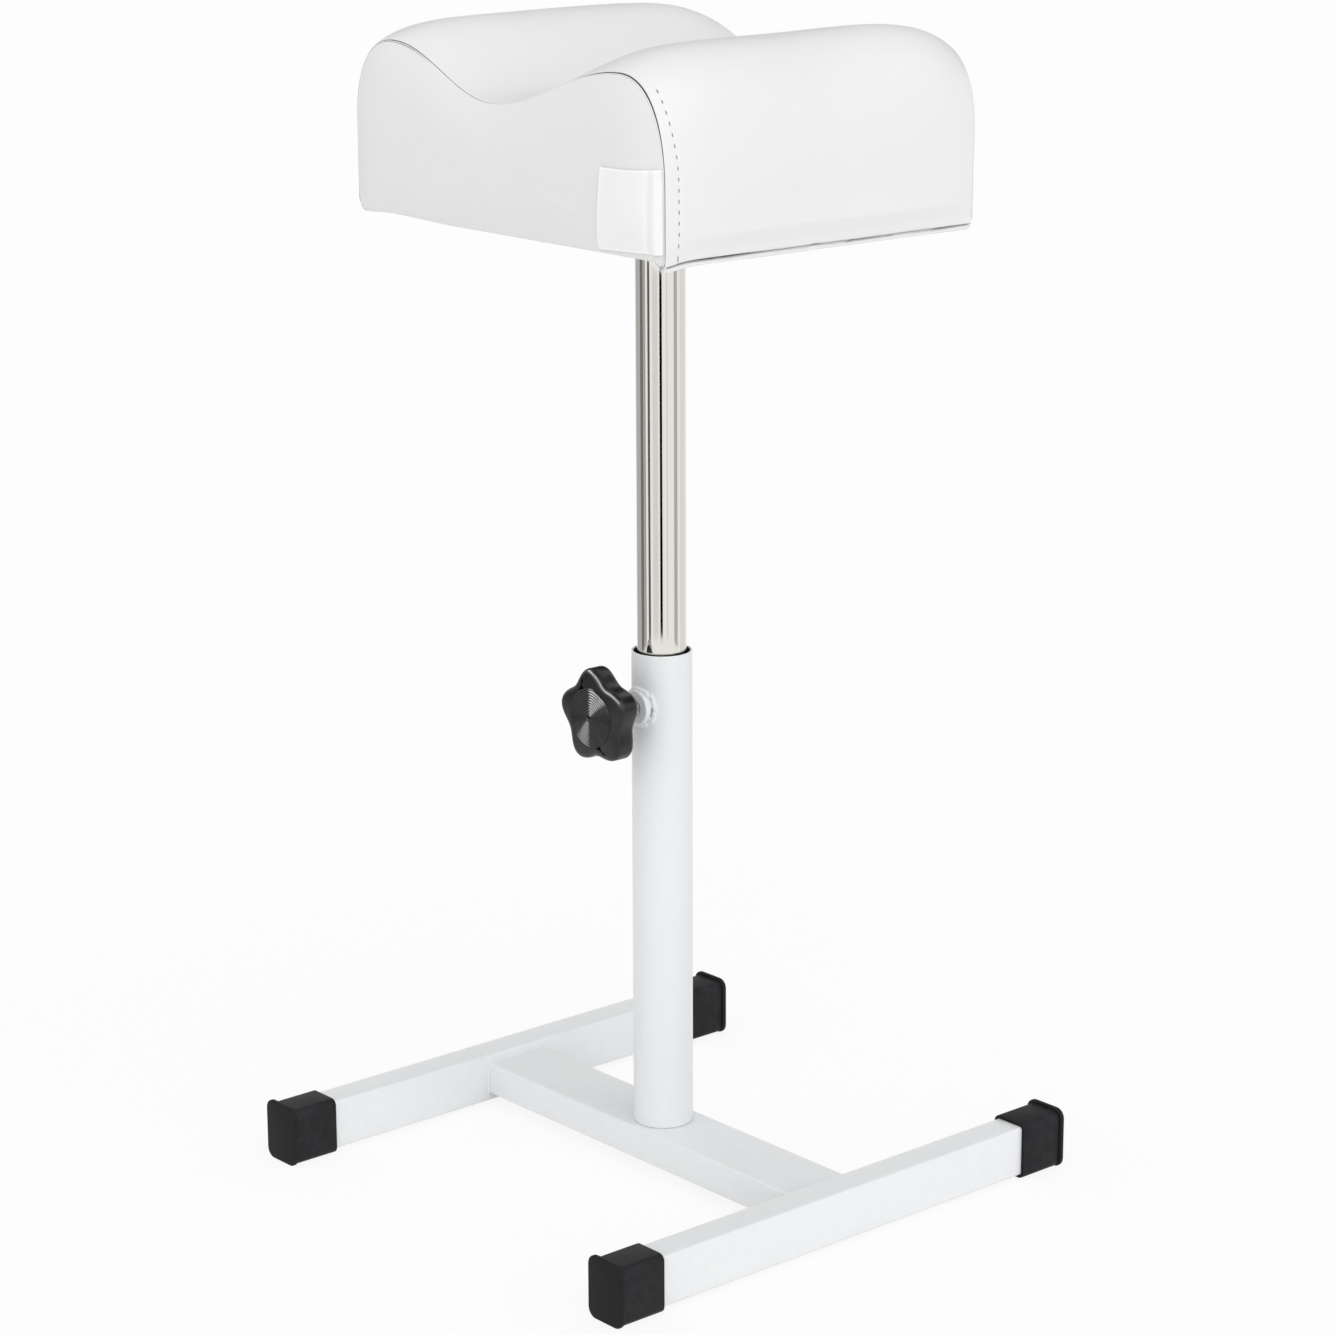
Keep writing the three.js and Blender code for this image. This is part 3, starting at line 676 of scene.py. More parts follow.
# The clamp screw is a zinc-plated M8 hexagon screw, moulded into the knob. Its thread runs through the boss,
# and a swivelling nylon pad on its tip bears on the chrome tube.
screw_low, screw_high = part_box("clamp_screw")
screw_tip = -screw_high.y
screw_back = -screw_low.y
thread_radius = 0.004
thread_depth = 0.00065
thread_pitch = 0.00125
thread_turn_steps = 40
hexagon_flats = 0.013
hexagon_height = 0.0053
thread_end = screw_back - hexagon_height

bm = bmesh.new()
thread_root = thread_radius - thread_depth
tooth = [(thread_root, 0), (thread_radius, 0.42), (thread_radius, 0.58), (thread_root, 0.9), (thread_root, 1)]
start = screw_tip - 1.5 * thread_pitch
turns = math.ceil((thread_end - start) / thread_pitch) + 1
verts = [
    bm.verts.new(clamp_place @ Vector((radius, 0, start + rise * thread_pitch))) for radius, rise in tooth
]
edges = [bm.edges.new(pair) for pair in zip(verts, verts[1:])]
step_advance = thread_pitch / thread_turn_steps
bmesh.ops.spin(
    bm, geom=verts + edges, cent=clamp_place.translation, axis=(0, -1, 0), dvec=(0, -step_advance, 0),
    angle=math.tau * turns, steps=thread_turn_steps * turns,
)
bmesh.ops.remove_doubles(bm, verts=bm.verts, dist=2e-6)
for cut_at, kept in ((screw_tip, 1), (thread_end, -1)):
    cut = bmesh.ops.bisect_plane(
        bm, geom=bm.verts[:] + bm.edges[:] + bm.faces[:], plane_co=(0, -cut_at, 0), plane_no=(0, kept, 0),
        clear_outer=True,
    )
    bmesh.ops.holes_fill(bm, edges=edges_of(cut["geom_cut"]), sides=0)
hexagon_radius = hexagon_flats / math.sqrt(3)
bmesh.ops.create_cone(
    bm, cap_ends=True, segments=6, radius1=hexagon_radius, radius2=hexagon_radius, depth=hexagon_height,
    matrix=clamp_place @ Matrix.Translation((0, 0, thread_end + hexagon_height / 2)),
)
finished(bm, "clamp_thread", "knob", zinc, ["clamp_screw"], crease=40)

nylon = finish_material(
    "natural_nylon", colour=(0.78, 0.76, 0.7, 1), shade=(0.72, 0.69, 0.62, 1), roughness=0.5,
    roughness_spread=0.1, grain=0.0004, patch=0.005, bump=0.00002, Subsurface_Weight=0.1,
)
repainted(["clamp_pad", "guide_bush"], nylon)


# The knob is a five-lobed star of glossy black plastic, with rounded edges, a recess in its face for the cap,
# and a tapered hub behind it.
grip_low, grip_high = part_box("knob_grip")
knob_face = -grip_low.y
hub_tip = -grip_high.y
knob_thickness = 0.0145
knob_back = knob_face - knob_thickness
lobe_reach = 0.0283
valley_reach = 0.0226
lobes = 5
first_lobe = math.radians(25.3)
knob_round = 0.0036
knob_steps = 240
hub_radius = 0.0105
hub_tip_radius = 0.0085
hub_bore = 0.0041
hub_sink = 0.002
hub_round = 0.0008
disc_low, disc_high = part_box("knob_cap")
disc_radius = disc_high.x
disc_floor = -disc_high.y
disc_gap = 0.0001
recess_round = 0.0004

# The knob's edges are painted a little lighter, partly as wear and partly as a painted sheen.
knob_plastic = finish_material(
    "knob_plastic", colour=(0.006, 0.006, 0.0072, 1), shade=(0.004, 0.004, 0.005, 1), roughness=0.26,
    roughness_spread=0.06, grain=0.0006, patch=0.01, bump=0.00001, wear_and_sheen=0.3,
    wear_and_sheen_colour=(0.05, 0.05, 0.055, 1), Specular_IOR_Level=0.45,
)


bm = bmesh.new()
for v in bmesh.ops.create_circle(bm, cap_ends=True, segments=knob_steps, radius=1)["verts"]:
    angle = math.atan2(v.co.y, v.co.x)
    reach = (lobe_reach + valley_reach) / 2
    reach += (lobe_reach - valley_reach) / 2 * math.cos(lobes * (angle - first_lobe))
    v.co = (reach * math.cos(angle), reach * math.sin(angle), knob_back)
grown = bmesh.ops.extrude_face_region(bm, geom=bm.faces[:])["geom"]
bmesh.ops.translate(bm, verts=verts_of(grown), vec=(0, 0, knob_thickness))
rounded(bm, [e for e in bm.edges if edge_run(e, 2) < 1e-9], knob_round, 8)
face = max(bm.faces, key=lambda f: len(f.verts) * 10 + f.calc_center_median().z)
face_edges = face.edges[:]
bmesh.ops.delete(bm, geom=[face], context="FACES_ONLY")
mouth_place = Matrix.Translation((0, 0, knob_face))
mouth = bmesh.ops.create_circle(
    bm, segments=len(face_edges), radius=disc_radius + disc_gap, matrix=mouth_place
)["verts"]
mouth_edges = linked_edges(mouth)
bmesh.ops.bridge_loops(bm, edges=face_edges + mouth_edges)
recess = bmesh.ops.extrude_edge_only(bm, edges=mouth_edges)["geom"]
bmesh.ops.translate(bm, verts=verts_of(recess), vec=(0, 0, disc_floor - disc_gap - knob_face))
bmesh.ops.contextual_create(bm, geom=[e for e in edges_of(recess) if e.is_boundary])
rounded(bm, mouth_edges, recess_round, 3)
bmesh.ops.transform(bm, verts=bm.verts, matrix=clamp_place)
hub_end = knob_back + hub_sink
hub = [(hub_bore, hub_tip), (hub_tip_radius, hub_tip), (hub_radius, knob_back), (hub_radius, hub_end),
       (hub_bore, hub_end)]
turned(bm, softened(hub, hub_round), 96, clamp_place)
star_knob = finished(bm, "star_knob", "knob", knob_plastic, ["knob_grip"], crease=40)


# A domed cap is pressed into the knob's face and hides the screw's head. Fine rings were turned into its
# mould, so it shimmers like a record. A strip light over the knob draws the glints along its edges and rings,
# and lights nothing else.
disc_dome = 0.0009
disc_rings = 10
disc_ring_depth = 0.00055
disc_plain_radius = 0.002
disc_edge_round = 0.0003
disc_top = -disc_low.y
ring_steps = 8
knob_strip = (-125, -14, 1.0, 1.6, 16.0)

cap_gloss = finish_material(
    "cap_gloss_plastic", colour=(0.006, 0.006, 0.0072, 1), shade=(0.004, 0.004, 0.005, 1), roughness=0.05,
    roughness_spread=0.04, grain=0.0006, patch=0.008, bump=0.00001, Specular_IOR_Level=0.45,
)
bm = bmesh.new()
ring_pitch = (disc_radius - disc_edge_round - disc_plain_radius) / disc_rings
profile = [(0, disc_floor), (disc_radius, disc_floor)]
for i in range(disc_rings * ring_steps + 1):
    radius = disc_radius - disc_edge_round - ring_pitch * i / ring_steps
    dome = disc_top - disc_dome * (radius / disc_radius) ** 2
    profile.append((radius, dome - disc_ring_depth * (1 - math.cos(math.tau * i / ring_steps)) / 2))
profile.insert(2, (disc_radius, profile[2][1] - disc_edge_round))
profile.append((0, disc_top))
turned(bm, profile, 96, clamp_place, closed=False)
ringed_cap = finished(bm, "knob_cap_ringed", "knob", cap_gloss, ["knob_cap"], crease=50)
glossy_pieces = bpy.data.collections.new("knob_strip_light_shows_on")
for piece in (star_knob, ringed_cap):
    glossy_pieces.objects.link(piece)
strip = studio_panel("knob_strip_light", knob_strip, see_through=True)
strip.light_linking.receiver_collection = glossy_pieces


# The mast is a chrome-plated steel tube that slides and turns in the post on a nylon bush. Drawing the tube
# left faint lines along it.
mast_low, mast_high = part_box("mast_tube")
mast_radius = mast_high.x
mast_rim_round = 0.0004
mast_sides = 160

chrome = finish_material(
    "polished_chrome", colour=(0.8, 0.78, 0.74, 1), shade=(0.77, 0.75, 0.7, 1), roughness=0.02,
    roughness_spread=0.04, grain=0.0012, patch=0.02, bump=0.0000025, stretch=0.02, Metallic=1.0,
)
bm = turned_ring(mast_radius - tube_wall, mast_radius, mast_low.z, mast_high.z, mast_rim_round, mast_sides)
finished(bm, "mast", "mast", chrome, ["mast_tube"])


# A square steel plate carries the cushion. The mast is welded into the socket under it, the plate is coated
# like the base, and it has a hole near each corner.
flange_low, flange_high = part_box("mast_flange")
plate_thickness = 0.003
plate_corner = 0.009
plate_edge_round = 0.0005
socket_wall = 0.003
socket_play = 0.0003
socket_round = 0.0005
plate_weld_radius = 0.0019
plate_weld_out, plate_weld_below = 0.0004, 0.0003
plate_weld_steps = 96

plate_low = flange_high.z - plate_thickness
bm = rounded_bar((flange_low.x, flange_low.y, plate_low), flange_high, 2, plate_corner, steps=8)
rounded(bm, [e for e in bm.edges if edge_run(e, 2) < 1e-9], plate_edge_round, 3)
socket_inner = mast_radius + socket_play
socket_outer = socket_inner + socket_wall
turned_ring(
    socket_inner, socket_outer, flange_low.z, plate_low + plate_thickness / 3, socket_round, 96, bm=bm
)
reach = socket_outer + plate_weld_out
weld = [(reach * math.cos(a), reach * math.sin(a), plate_low - plate_weld_below)
        for a in (math.tau * i / plate_weld_steps for i in range(plate_weld_steps))]
weld_bead(bm, weld, plate_weld_radius, spread=0.1, closed=True, seed=11)
finished(bm, "cushion_plate", "mast", powder_coat, ["mast_flange"], crease=40)


# Four M6 button-head screws with washers hold the cushion to the plate. They run up into tee nuts that were
# driven into the board before it was covered.
mount_radius = 0.003
mount_hexagon = 0.004
mount_hexagon_depth = 0.002
mount_dome = 0.0022
mount_turn = 0.9
mount_washer_play = 0.0003
mount_washer_round = 0.0002

for number in range(1, 5):
    low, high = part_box(f"flange_screw_{number}")
    washer_low, washer_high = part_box(f"flange_washer_{number}")
    centre = (low + high) / 2
    bm = bmesh.new()
    headed_screw(
        bm, low.z, washer_low.z, high.z, (high.x - low.x) / 2, mount_radius, mount_hexagon,
        mount_hexagon_depth, mount_dome,
    )
    turn = Matrix.Rotation(number * mount_turn, 3, "Z")
    bmesh.ops.rotate(bm, verts=bm.verts, cent=(0, 0, 0), matrix=turn)
    bmesh.ops.translate(bm, verts=bm.verts, vec=(centre.x, centre.y, 0))
    finished(bm, f"plate_screw_{number}", "mast", zinc, [f"flange_screw_{number}"])
    bm = turned_ring(
        mount_radius + mount_washer_play, (washer_high.x - washer_low.x) / 2, washer_low.z, washer_high.z,
        mount_washer_round, place=Matrix.Translation((centre.x, centre.y, 0)),
    )
    finished(bm, f"plate_washer_{number}", "mast", zinc, [f"flange_washer_{number}"])
repainted([f"tee_nut_{number}" for number in range(1, 5)], zinc)


# The cushion stands on a board of raw plywood, 12 mm thick, with rounded corners. The cover hides it, and the
# tee nuts are driven into it from above.
plywood = finish_material(
    "plywood", colour=(0.62, 0.45, 0.27, 1), shade=(0.5, 0.34, 0.19, 1), roughness=0.65,
    roughness_spread=0.15, grain=0.0012, patch=0.03, bump=0.00008, stretch=8.0,
)
repainted(["seat_board"], plywood)


# The foam block is saddle-shaped: two crests along the sides with a hollow for the leg between them. It is
# pressed into the tight cover, so it swells a little between the cover's end seams.
seat_height = 0.564
half_width = 0.131
half_length = 0.111
lower_corner = 0.003
left_crest, left_crest_height, left_shoulder_height = -0.0965, 0.0972, 0.05
right_crest, right_crest_height, right_shoulder_height = 0.0946, 0.0942, 0.035
valley, valley_height = -0.0105, 0.07
shoulder_power = 2.3
left_crown, right_crown, valley_crown = 0.0105, 0.0135, 0.0035
climb_power, crown_level = 3, 0.75
side_swell = 0.0045
swell_rise = 0.012
swell_power = 6
swell_skin, swell_depth = 0.002, 0.01
end_bulge = 0.004
rear_reach = 0.0017
rear_shoulder = 0.0033
corner_lift = 0.0022
corner_sag = 0.0022
corner_round = 0.0095
corner_start = 0.05
round_fade = 0.04
shoulder_from, shoulder_rise = 0.03, 0.05
lift_fade, lift_height = 0.05, 0.035
spared_share, spared_from, spared_reach = 0.9, 0.008, 0.014
sag_across, sag_along, sag_height = 0.008, 0.011, 0.02
panel_centre_height = 0.04
cover_thickness = 0.0012
foam_inset = 0.0019
foam_bottom = 0.0139
cushion_heart = (0, 0, seat_height + panel_centre_height)
section_step = 0.0002
section_steps, hem_corner_steps, smoothed_over = 60, 12, 6
foam_grid = 0.005
foam_every = 15
foam_pressure = 4.0
foam_frames = 20
foam_most = 0.005
foam_give = 0.9
held_reach, board_hold = 0.012, 0.016


def slope(start, end, steps):
    """A smooth half wave from one (x, z) to another."""
    return [(start[0] + (end[0] - start[0]) * i / steps,
             start[1] + (end[1] - start[1]) * (1 - math.cos(math.pi * i / steps)) / 2) for i in range(steps)]


def shoulder(crest, crest_height, side, side_height, steps):
    """A rounded shoulder from the side up to the crest."""
    power = 2 / shoulder_power
    made = []
    for i in range(steps):
        angle = math.pi / 2 * i / steps
        made.append((crest + (side - crest) * max(0, math.cos(angle)) ** power,
                     side_height + (crest_height - side_height) * math.sin(angle) ** power))
    return made


def section_line(under):
    """The cushion's section from under its left side, over the top, to under its right side.

    Returns the points, their outward normals and the distance along the line, all closely spaced. under is
    how far the line runs in below each side.
    """
    corner = [(lower_corner * (1 - math.sin(a)), lower_corner * (1 - math.cos(a)))
              for a in (math.pi / 2 * i / hem_corner_steps for i in range(hem_corner_steps))]
    line = [(-half_width + under, 0)] + [(-half_width + x, z) for x, z in corner]
    line += shoulder(left_crest, left_crest_height, -half_width, left_shoulder_height, section_steps)
    line += slope((left_crest, left_crest_height), (valley, valley_height), section_steps)
    line += slope((valley, valley_height), (right_crest, right_crest_height), section_steps)
    line += shoulder(
        right_crest, right_crest_height, half_width, right_shoulder_height, section_steps
    )[::-1]
    line += [(half_width - x, z) for x, z in corner[::-1]] + [(half_width - under, 0)]
    line = np.array(line)
    walked = np.concatenate(([0], np.cumsum(np.hypot(*np.diff(line, axis=0).T))))
    fine = np.arange(0, walked[-1], section_step)
    line = np.stack([np.interp(fine, walked, line[:, k]) for k in range(2)], axis=1)
    along = np.gradient(line, axis=0)
    kernel = np.ones(2 * smoothed_over + 1) / (2 * smoothed_over + 1)
    padded = np.pad(along, ((smoothed_over, smoothed_over), (0, 0)), mode="edge")
    along = np.stack([np.convolve(padded[:, k], kernel, "valid") for k in range(2)], axis=1)
    along /= np.linalg.norm(along, axis=1)[:, None]
    return line, np.stack([-along[:, 1], along[:, 0]], axis=1), fine


def eased(value):
    """Smoothly from 0 to 1, as the value goes from 0 to 1."""
    value = np.clip(value, 0, 1)
    return value * value * (3 - 2 * value)


def crown_at(points, normals):
    """How far the cover stands out of the section midway between the seams.

    It is most on the crests, least in the valley, and even on the sides.
    """
    onto_left = points[:, 0] < valley
    crest = np.where(onto_left, left_crest, right_crest)
    share = np.clip((points[:, 0] - valley) / (crest - valley), 0, 1)
    climb = ((1 - np.cos(np.pi * share)) / 2) ** climb_power
    top = valley_crown + (np.where(onto_left, left_crown, right_crown) - valley_crown) * climb
    crown = side_swell + (top - side_swell) * eased(normals[:, 1] / crown_level)
    return crown * np.clip(points[:, 1] / swell_rise, 0, 1)


def swollen(points, normals, length_share):
    """How far section points move out at shares of the half length."""
    return crown_at(points, normals)[None, :] * (1 - np.abs(length_share) ** swell_power)[:, None]


def hand_drawn(places):
    """Places on the cushion, moved as on a cover that was drawn tight by hand.

    The rear end stands out a little further and has a fuller right shoulder, the lower front edge is drawn up
    at the left, and the lower front corners are rounder at the left and sag at the right.
    """
    made = np.array(places)
    across, along, height = made[..., 0], made[..., 1], made[..., 2] - seat_height
    out = np.clip(corner_round - half_width - across, 0, None)
    down = np.clip(corner_round - height, 0, None)
    far = np.hypot(out, down)
    past = (out > 0) & (down > 0) & (far > corner_round)
    pull = np.where(past, 1 - corner_round / np.maximum(far, 1e-9), 0)
    pull = pull * eased((-along - corner_start) / round_fade)
    across, height = across + out * pull, height + down * pull
    made[..., 0], made[..., 2] = across, height + seat_height
    right = np.clip(across / half_width, 0, 1)
    rear = eased(along / half_length)
    full = rear * right * eased((height - shoulder_from) / shoulder_rise)
    left = np.clip((-across - corner_start) / (half_width - corner_start), 0, 1)
    up = left * eased((-along - corner_start) / lift_fade) * (1 - eased(height / lift_height))
    up = up * (1 - spared_share * np.exp(-((across + half_width - spared_from) / spared_reach) ** 2))
    off_across, off_along = (half_width - across) / sag_across, (half_length + along) / sag_along
    sag = corner_sag * np.exp(-off_across ** 2 - off_along ** 2) * (1 - eased(height / sag_height))
    made[..., 0] += rear_reach * rear * right + rear_shoulder * full
    made[..., 1] += rear_reach * rear
    made[..., 2] += rear_shoulder * full + corner_lift * up - sag
    return made


def grid_piece(places, uv=None, painted_shade=None):
    """A mesh from a create_grid whose rows of vertices are moved to places, shaped (rows, columns, 3).

    The last argument gives each place's painted shade, deep in a seam or along a crease, from 0 to 1.
    """
    rows, columns = places.shape[:2]
    bm = bmesh.new()
    bmesh.ops.create_grid(bm, x_segments=columns - 1, y_segments=rows - 1, size=1)
    for v, place in zip(bm.verts, places.reshape(-1, 3)):
        v.co = place
    if painted_shade is not None:
        depths = bm.verts.layers.float.new("painted_shade")
        for v, depth in zip(bm.verts, painted_shade.reshape(-1)):
            v[depths] = depth
    if uv is not None:
        layer = bm.loops.layers.uv.new("cut")
        flat = uv.reshape(-1, 2)
        for f in bm.faces:
            for loop in f.loops:
                loop[layer].uv = flat[loop.vert.index]
    return bm


foam_material = finish_material(
    "upholstery_foam", colour=(0.8, 0.74, 0.55, 1), shade=(0.7, 0.62, 0.42, 1), roughness=0.9,
    roughness_spread=0.05, grain=0.0012, patch=0.03, bump=0.0003,
)
line, line_normals, walked = section_line(lower_corner)
picks = np.unique(np.concatenate([np.arange(0, len(line), foam_every), [len(line) - 1]]))
strip, strip_normals = line[picks], line_normals[picks]
core = strip - strip_normals * foam_inset
core[:, 1] = np.maximum(core[:, 1], foam_bottom)
core = core[np.concatenate(([True], np.hypot(*np.diff(core, axis=0).T) > 1e-4))]
bm = bmesh.new()
block = bm.faces.new([bm.verts.new((x, -half_length + foam_inset, seat_height + z)) for x, z in core])
grown = bmesh.ops.extrude_face_region(bm, geom=[block])["geom"]
bmesh.ops.translate(bm, verts=verts_of(grown), vec=(0, 2 * (half_length - foam_inset), 0))
bmesh.ops.recalc_face_normals(bm, faces=bm.faces)
foam = finished(bm, "foam_block_pressed", "mast", foam_material, ["foam_block"], crease=180)
foam.modifiers.new("grid", "REMESH").voxel_size = foam_grid
applied(foam)

# Each point of the foam swells with the section's nearest point.
outline_places = [(x, y, z) for y in (-0.001, 0.001) for x, z in strip]
outline_faces = [(i, i + 1, i + 1 + len(strip), i + len(strip)) for i in range(len(strip) - 1)]
outline_tree = BVHTree.FromPolygons(outline_places, outline_faces)
flat_foam = np.array([v.co for v in foam.data.vertices])
found = [outline_tree.find_nearest((x, 0, z - seat_height)) for x, _, z in flat_foam]
nearest = np.array([f[2] for f in found])
buried = np.array([f[3] for f in found]) - foam_inset
share = 1 - np.clip(np.abs(flat_foam[:, 1]) / half_length, 0, 1) ** swell_power
share = share * np.clip(1 - (buried - swell_skin) / swell_depth, 0, 1)
grown = strip_normals[nearest] * (crown_at(strip, strip_normals)[nearest] * share)[:, None]
foam_rest = flat_foam + np.stack([grown[:, 0], np.zeros(len(grown)), grown[:, 1]], axis=1)
for v, place in zip(foam.data.vertices, foam_rest):
    v.co = place

# The cover's seams and the board hold the foam still, and it presses outwards between them.
to_end = half_length - foam_inset - np.abs(flat_foam[:, 1])
to_seam = np.hypot(np.clip(to_end, 0, None), np.clip(buried, 0, None))
by_board = np.clip((foam_bottom + board_hold - (flat_foam[:, 2] - seat_height)) / held_reach, 0, 1)
holding = np.maximum(by_board, np.clip(1 - to_seam / held_reach, 0, 1))
moved = np.zeros_like(foam_rest)
group = foam.vertex_groups.new(name="held")
for i, weight in enumerate(holding):
    group.add([i], float(weight), "REPLACE")
cloth = foam.modifiers.new("pressing", "CLOTH")
for setting, value in {
    "vertex_group_mass": "held", "pin_stiffness": 1.0, "use_pressure": True,
    "uniform_pressure_force": foam_pressure, "quality": 5, "tension_stiffness": 30,
    "compression_stiffness": 30,
}.items():
    setattr(cloth.settings, setting, value)
cloth.settings.effector_weights.gravity = 0
cloth.point_cache.frame_start = 1
cloth.point_cache.frame_end = foam_frames
for frame_number in range(1, foam_frames + 1):
    scene.frame_set(frame_number)
pressed = foam.evaluated_get(bpy.context.evaluated_depsgraph_get()).data
moved = np.array([v.co for v in pressed.vertices]) - foam_rest
foam.modifiers.clear()
scene.frame_set(1)
reach = np.linalg.norm(moved, axis=1)
moved *= (np.minimum(reach, foam_most) / np.maximum(reach, 1e-9))[:, None]
foam_faces = [tuple(f.vertices) for f in foam.data.polygons]
foam_tree = BVHTree.FromPolygons(foam_rest.tolist(), foam_faces)


def pressed_out(places):
    """How far the pressed foam moves the cover at each place."""
    found = np.zeros_like(places)
    for i, place in enumerate(places.reshape(-1, 3)):
        nearest, _, face, _ = foam_tree.find_nearest(place)
        ring = list(foam_faces[face])
        weights = 1 / (np.linalg.norm(foam_rest[ring] - np.array(nearest), axis=1) + 1e-4) ** 2
        found.reshape(-1, 3)[i] = (moved[ring] * weights[:, None]).sum(axis=0) / weights.sum()
    return found


# The cover's wrap is one long panel of smooth white artificial leather. It runs up one side, over the top and
# down the other, and is pulled tight round the board's lower edges, where it creases, and stapled under it.
wrap_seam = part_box("cover_wrap")[1].y
seam_round = 0.00045
seam_allowance = 0.0035
seam_hold = 0.0015
seam_shade_depth, seam_shade_height = 0.0003, 0.006
cushion_hem = 0.024
hem_zone = 0.0045
hem_clear, shortest_hem = 0.0004, 0.007
hem_step, wrap_step = 0.0002, 0.0014
first_row, stitch_rows, widest_row, middle_gap = 0.0005, 0.0004, 0.0048, 0.002
row_growth = 1.25
designed_share = 0.94
wrap_dents, wrap_dent_size = 0.00012, 0.05
puckers, pucker_reach, pucker_size = 0.0001, 0.006, 0.009
stitch_row, stitch_margin = 0.008, 0.002
stitch_lean = 0.0034
stitch_lean_from = 0.04
stitch_pitch = 0.0056
stitch_top = 0.088
stitch_side = 0.1
stitch_sink, stitch_sink_wave = 0.00022, 0.0001
furrow_fade, furrow_width = 0.006, 0.0009
hole_width, hole_length = 0.00032, 0.0011
crease_height = -0.0006
crease_taper = 0.0003
crease_depth = 0.0016
crease_width = 0.0004
crease_side = 0.004
crease_wander, crease_wander_size = 0.0004, 0.045
crease_tremor, crease_tremor_size = 0.00025, 0.009
crease_shade = 1.6
lip_drop = 0.0034
lip_swell = 0.0012
lip_below = 0.0014
lip_width = 0.0009
lip_fade_from, lip_fade_run = 0.03, 0.13
lip_turn, lip_turn_run = 0.003, 0.006
leather_colour = (0.835, 0.822, 0.82, 1)
leather_shade = (0.815, 0.80, 0.803, 1)
# The needle holes are painted this dark grey, as the shade inside them.
needle_hole_shade_colour = (0.16, 0.15, 0.15, 1)
# The seams' gaps and the crease above the lip are painted this near-black, as their shadow.
painted_shadow_colour = (0.06, 0.057, 0.057, 1)

leather_grain, entry, leave, places = effect_group(
    "leather_grain", {"Cell size": 0.0009, "Patch size": 0.05}, ["Height", "Patches"]
)
cell_scale = math_node(leather_grain, "DIVIDE", 1.0, entry.outputs["Cell size"])
patch_scale = math_node(leather_grain, "DIVIDE", 1.0, entry.outputs["Patch size"])
wander = node(leather_grain, "ShaderNodeTexNoise", {"Vector": places, "Scale": 900.0, "Detail": 1.0})
shifted = node(leather_grain, "ShaderNodeVectorMath", {
    0: wander.outputs["Color"], 1: (0.0005, 0.0005, 0.0005), 2: places,
}, operation="MULTIPLY_ADD").outputs[0]
cells = node(leather_grain, "ShaderNodeTexVoronoi", {
    "Vector": shifted, "Scale": cell_scale,
}, feature="DISTANCE_TO_EDGE").outputs["Distance"]
pebbles = ranged(leather_grain, cells, 0.0, 0.14, interpolation_type="SMOOTHSTEP")
fine = mottled(leather_grain, places, 3500.0, 1.0)
height = math_node(leather_grain, "MULTIPLY_ADD", fine, 0.25, pebbles)
leather_grain.links.new(height, leave.inputs["Height"])
leather_grain.links.new(mottled(leather_grain, places, patch_scale, 3.0), leave.inputs["Patches"])


def needle_holes(tree):
    """1 in the topstitching's needle holes, and 0 beside them.

    They are found by the cut's own coordinates: along the strip, and across it from its middle.
    """
    cut = node(tree, "ShaderNodeSeparateXYZ", {0: node(tree, "ShaderNodeUVMap", uv_map="cut").outputs[0]})
    spot = node(tree, "ShaderNodeSeparateXYZ", {0: node(tree, "ShaderNodeTexCoord").outputs["Object"]})
    level = math_node(tree, "SUBTRACT", spot.outputs["Z"], seat_height)
    lean = ranged(
        tree, level, stitch_lean_from, stitch_top, stitch_row, stitch_row - stitch_lean,
        interpolation_type="SMOOTHSTEP",
    )
    from_seam = math_node(tree, "ADD", cut.outputs["Y"], wrap_seam)
    across = math_node(tree, "ABSOLUTE", math_node(tree, "SUBTRACT", from_seam, lean))
    along = math_node(tree, "PINGPONG", cut.outputs["X"], stitch_pitch / 2)
    parts = [
        math_node(tree, "POWER", math_node(tree, "DIVIDE", run, size), 2.0)
        for run, size in ((across, hole_width), (along, hole_length))
    ]
    mark = ranged(tree, math_node(tree, "ADD", *parts), 1.5, 0.5)
    mark = math_node(tree, "MULTIPLY", mark, math_node(tree, "LESS_THAN", level, stitch_top))
    beside = math_node(tree, "ABSOLUTE", spot.outputs["X"])
    return math_node(tree, "MULTIPLY", mark, math_node(tree, "GREATER_THAN", beside, stitch_side))


def leather(name, stitched):
    """White artificial leather: the topstitching's needle holes, where it has them, are painted dark as
    shade, and its seams and crease get painted shadow.
    """
    made, tree, shader = new_material(name)
    surface = placed_group(tree, leather_grain)
    patches, raised = surface.outputs["Patches"], surface.outputs["Height"]
    tint = between(tree, patches, leather_shade, leather_colour)
    if stitched:
        # The needle holes are painted dark, as shade, and also sunk in the bump.
        holes = needle_holes(tree)
        tint = between(tree, holes, tint, needle_hole_shade_colour)
        raised = math_node(tree, "SUBTRACT", raised, math_node(tree, "MULTIPLY", holes, 4.0))
    # Painted shade: the seams and the crease are darkened as much as the mesh attribute below says.
    painted_shade = node(tree, "ShaderNodeAttribute", attribute_name="painted_shade").outputs["Fac"]
    tint = between(tree, painted_shade, tint, painted_shadow_colour)
    surfaced(tree, shader, tint, ranged(tree, patches, 0.3, 0.7, 0.42, 0.52), raised, 0.000022)
    shader.inputs["Sheen Weight"].default_value = 0.08
    shader.inputs["Sheen Roughness"].default_value = 0.4
    return made


def thickened(piece, thickness, offset=-1):
    """Gives a sheet its thickness, inwards unless offset says otherwise."""
    wall = piece.modifiers.new("thickness", "SOLIDIFY")
    wall.thickness = thickness
    wall.offset = offset


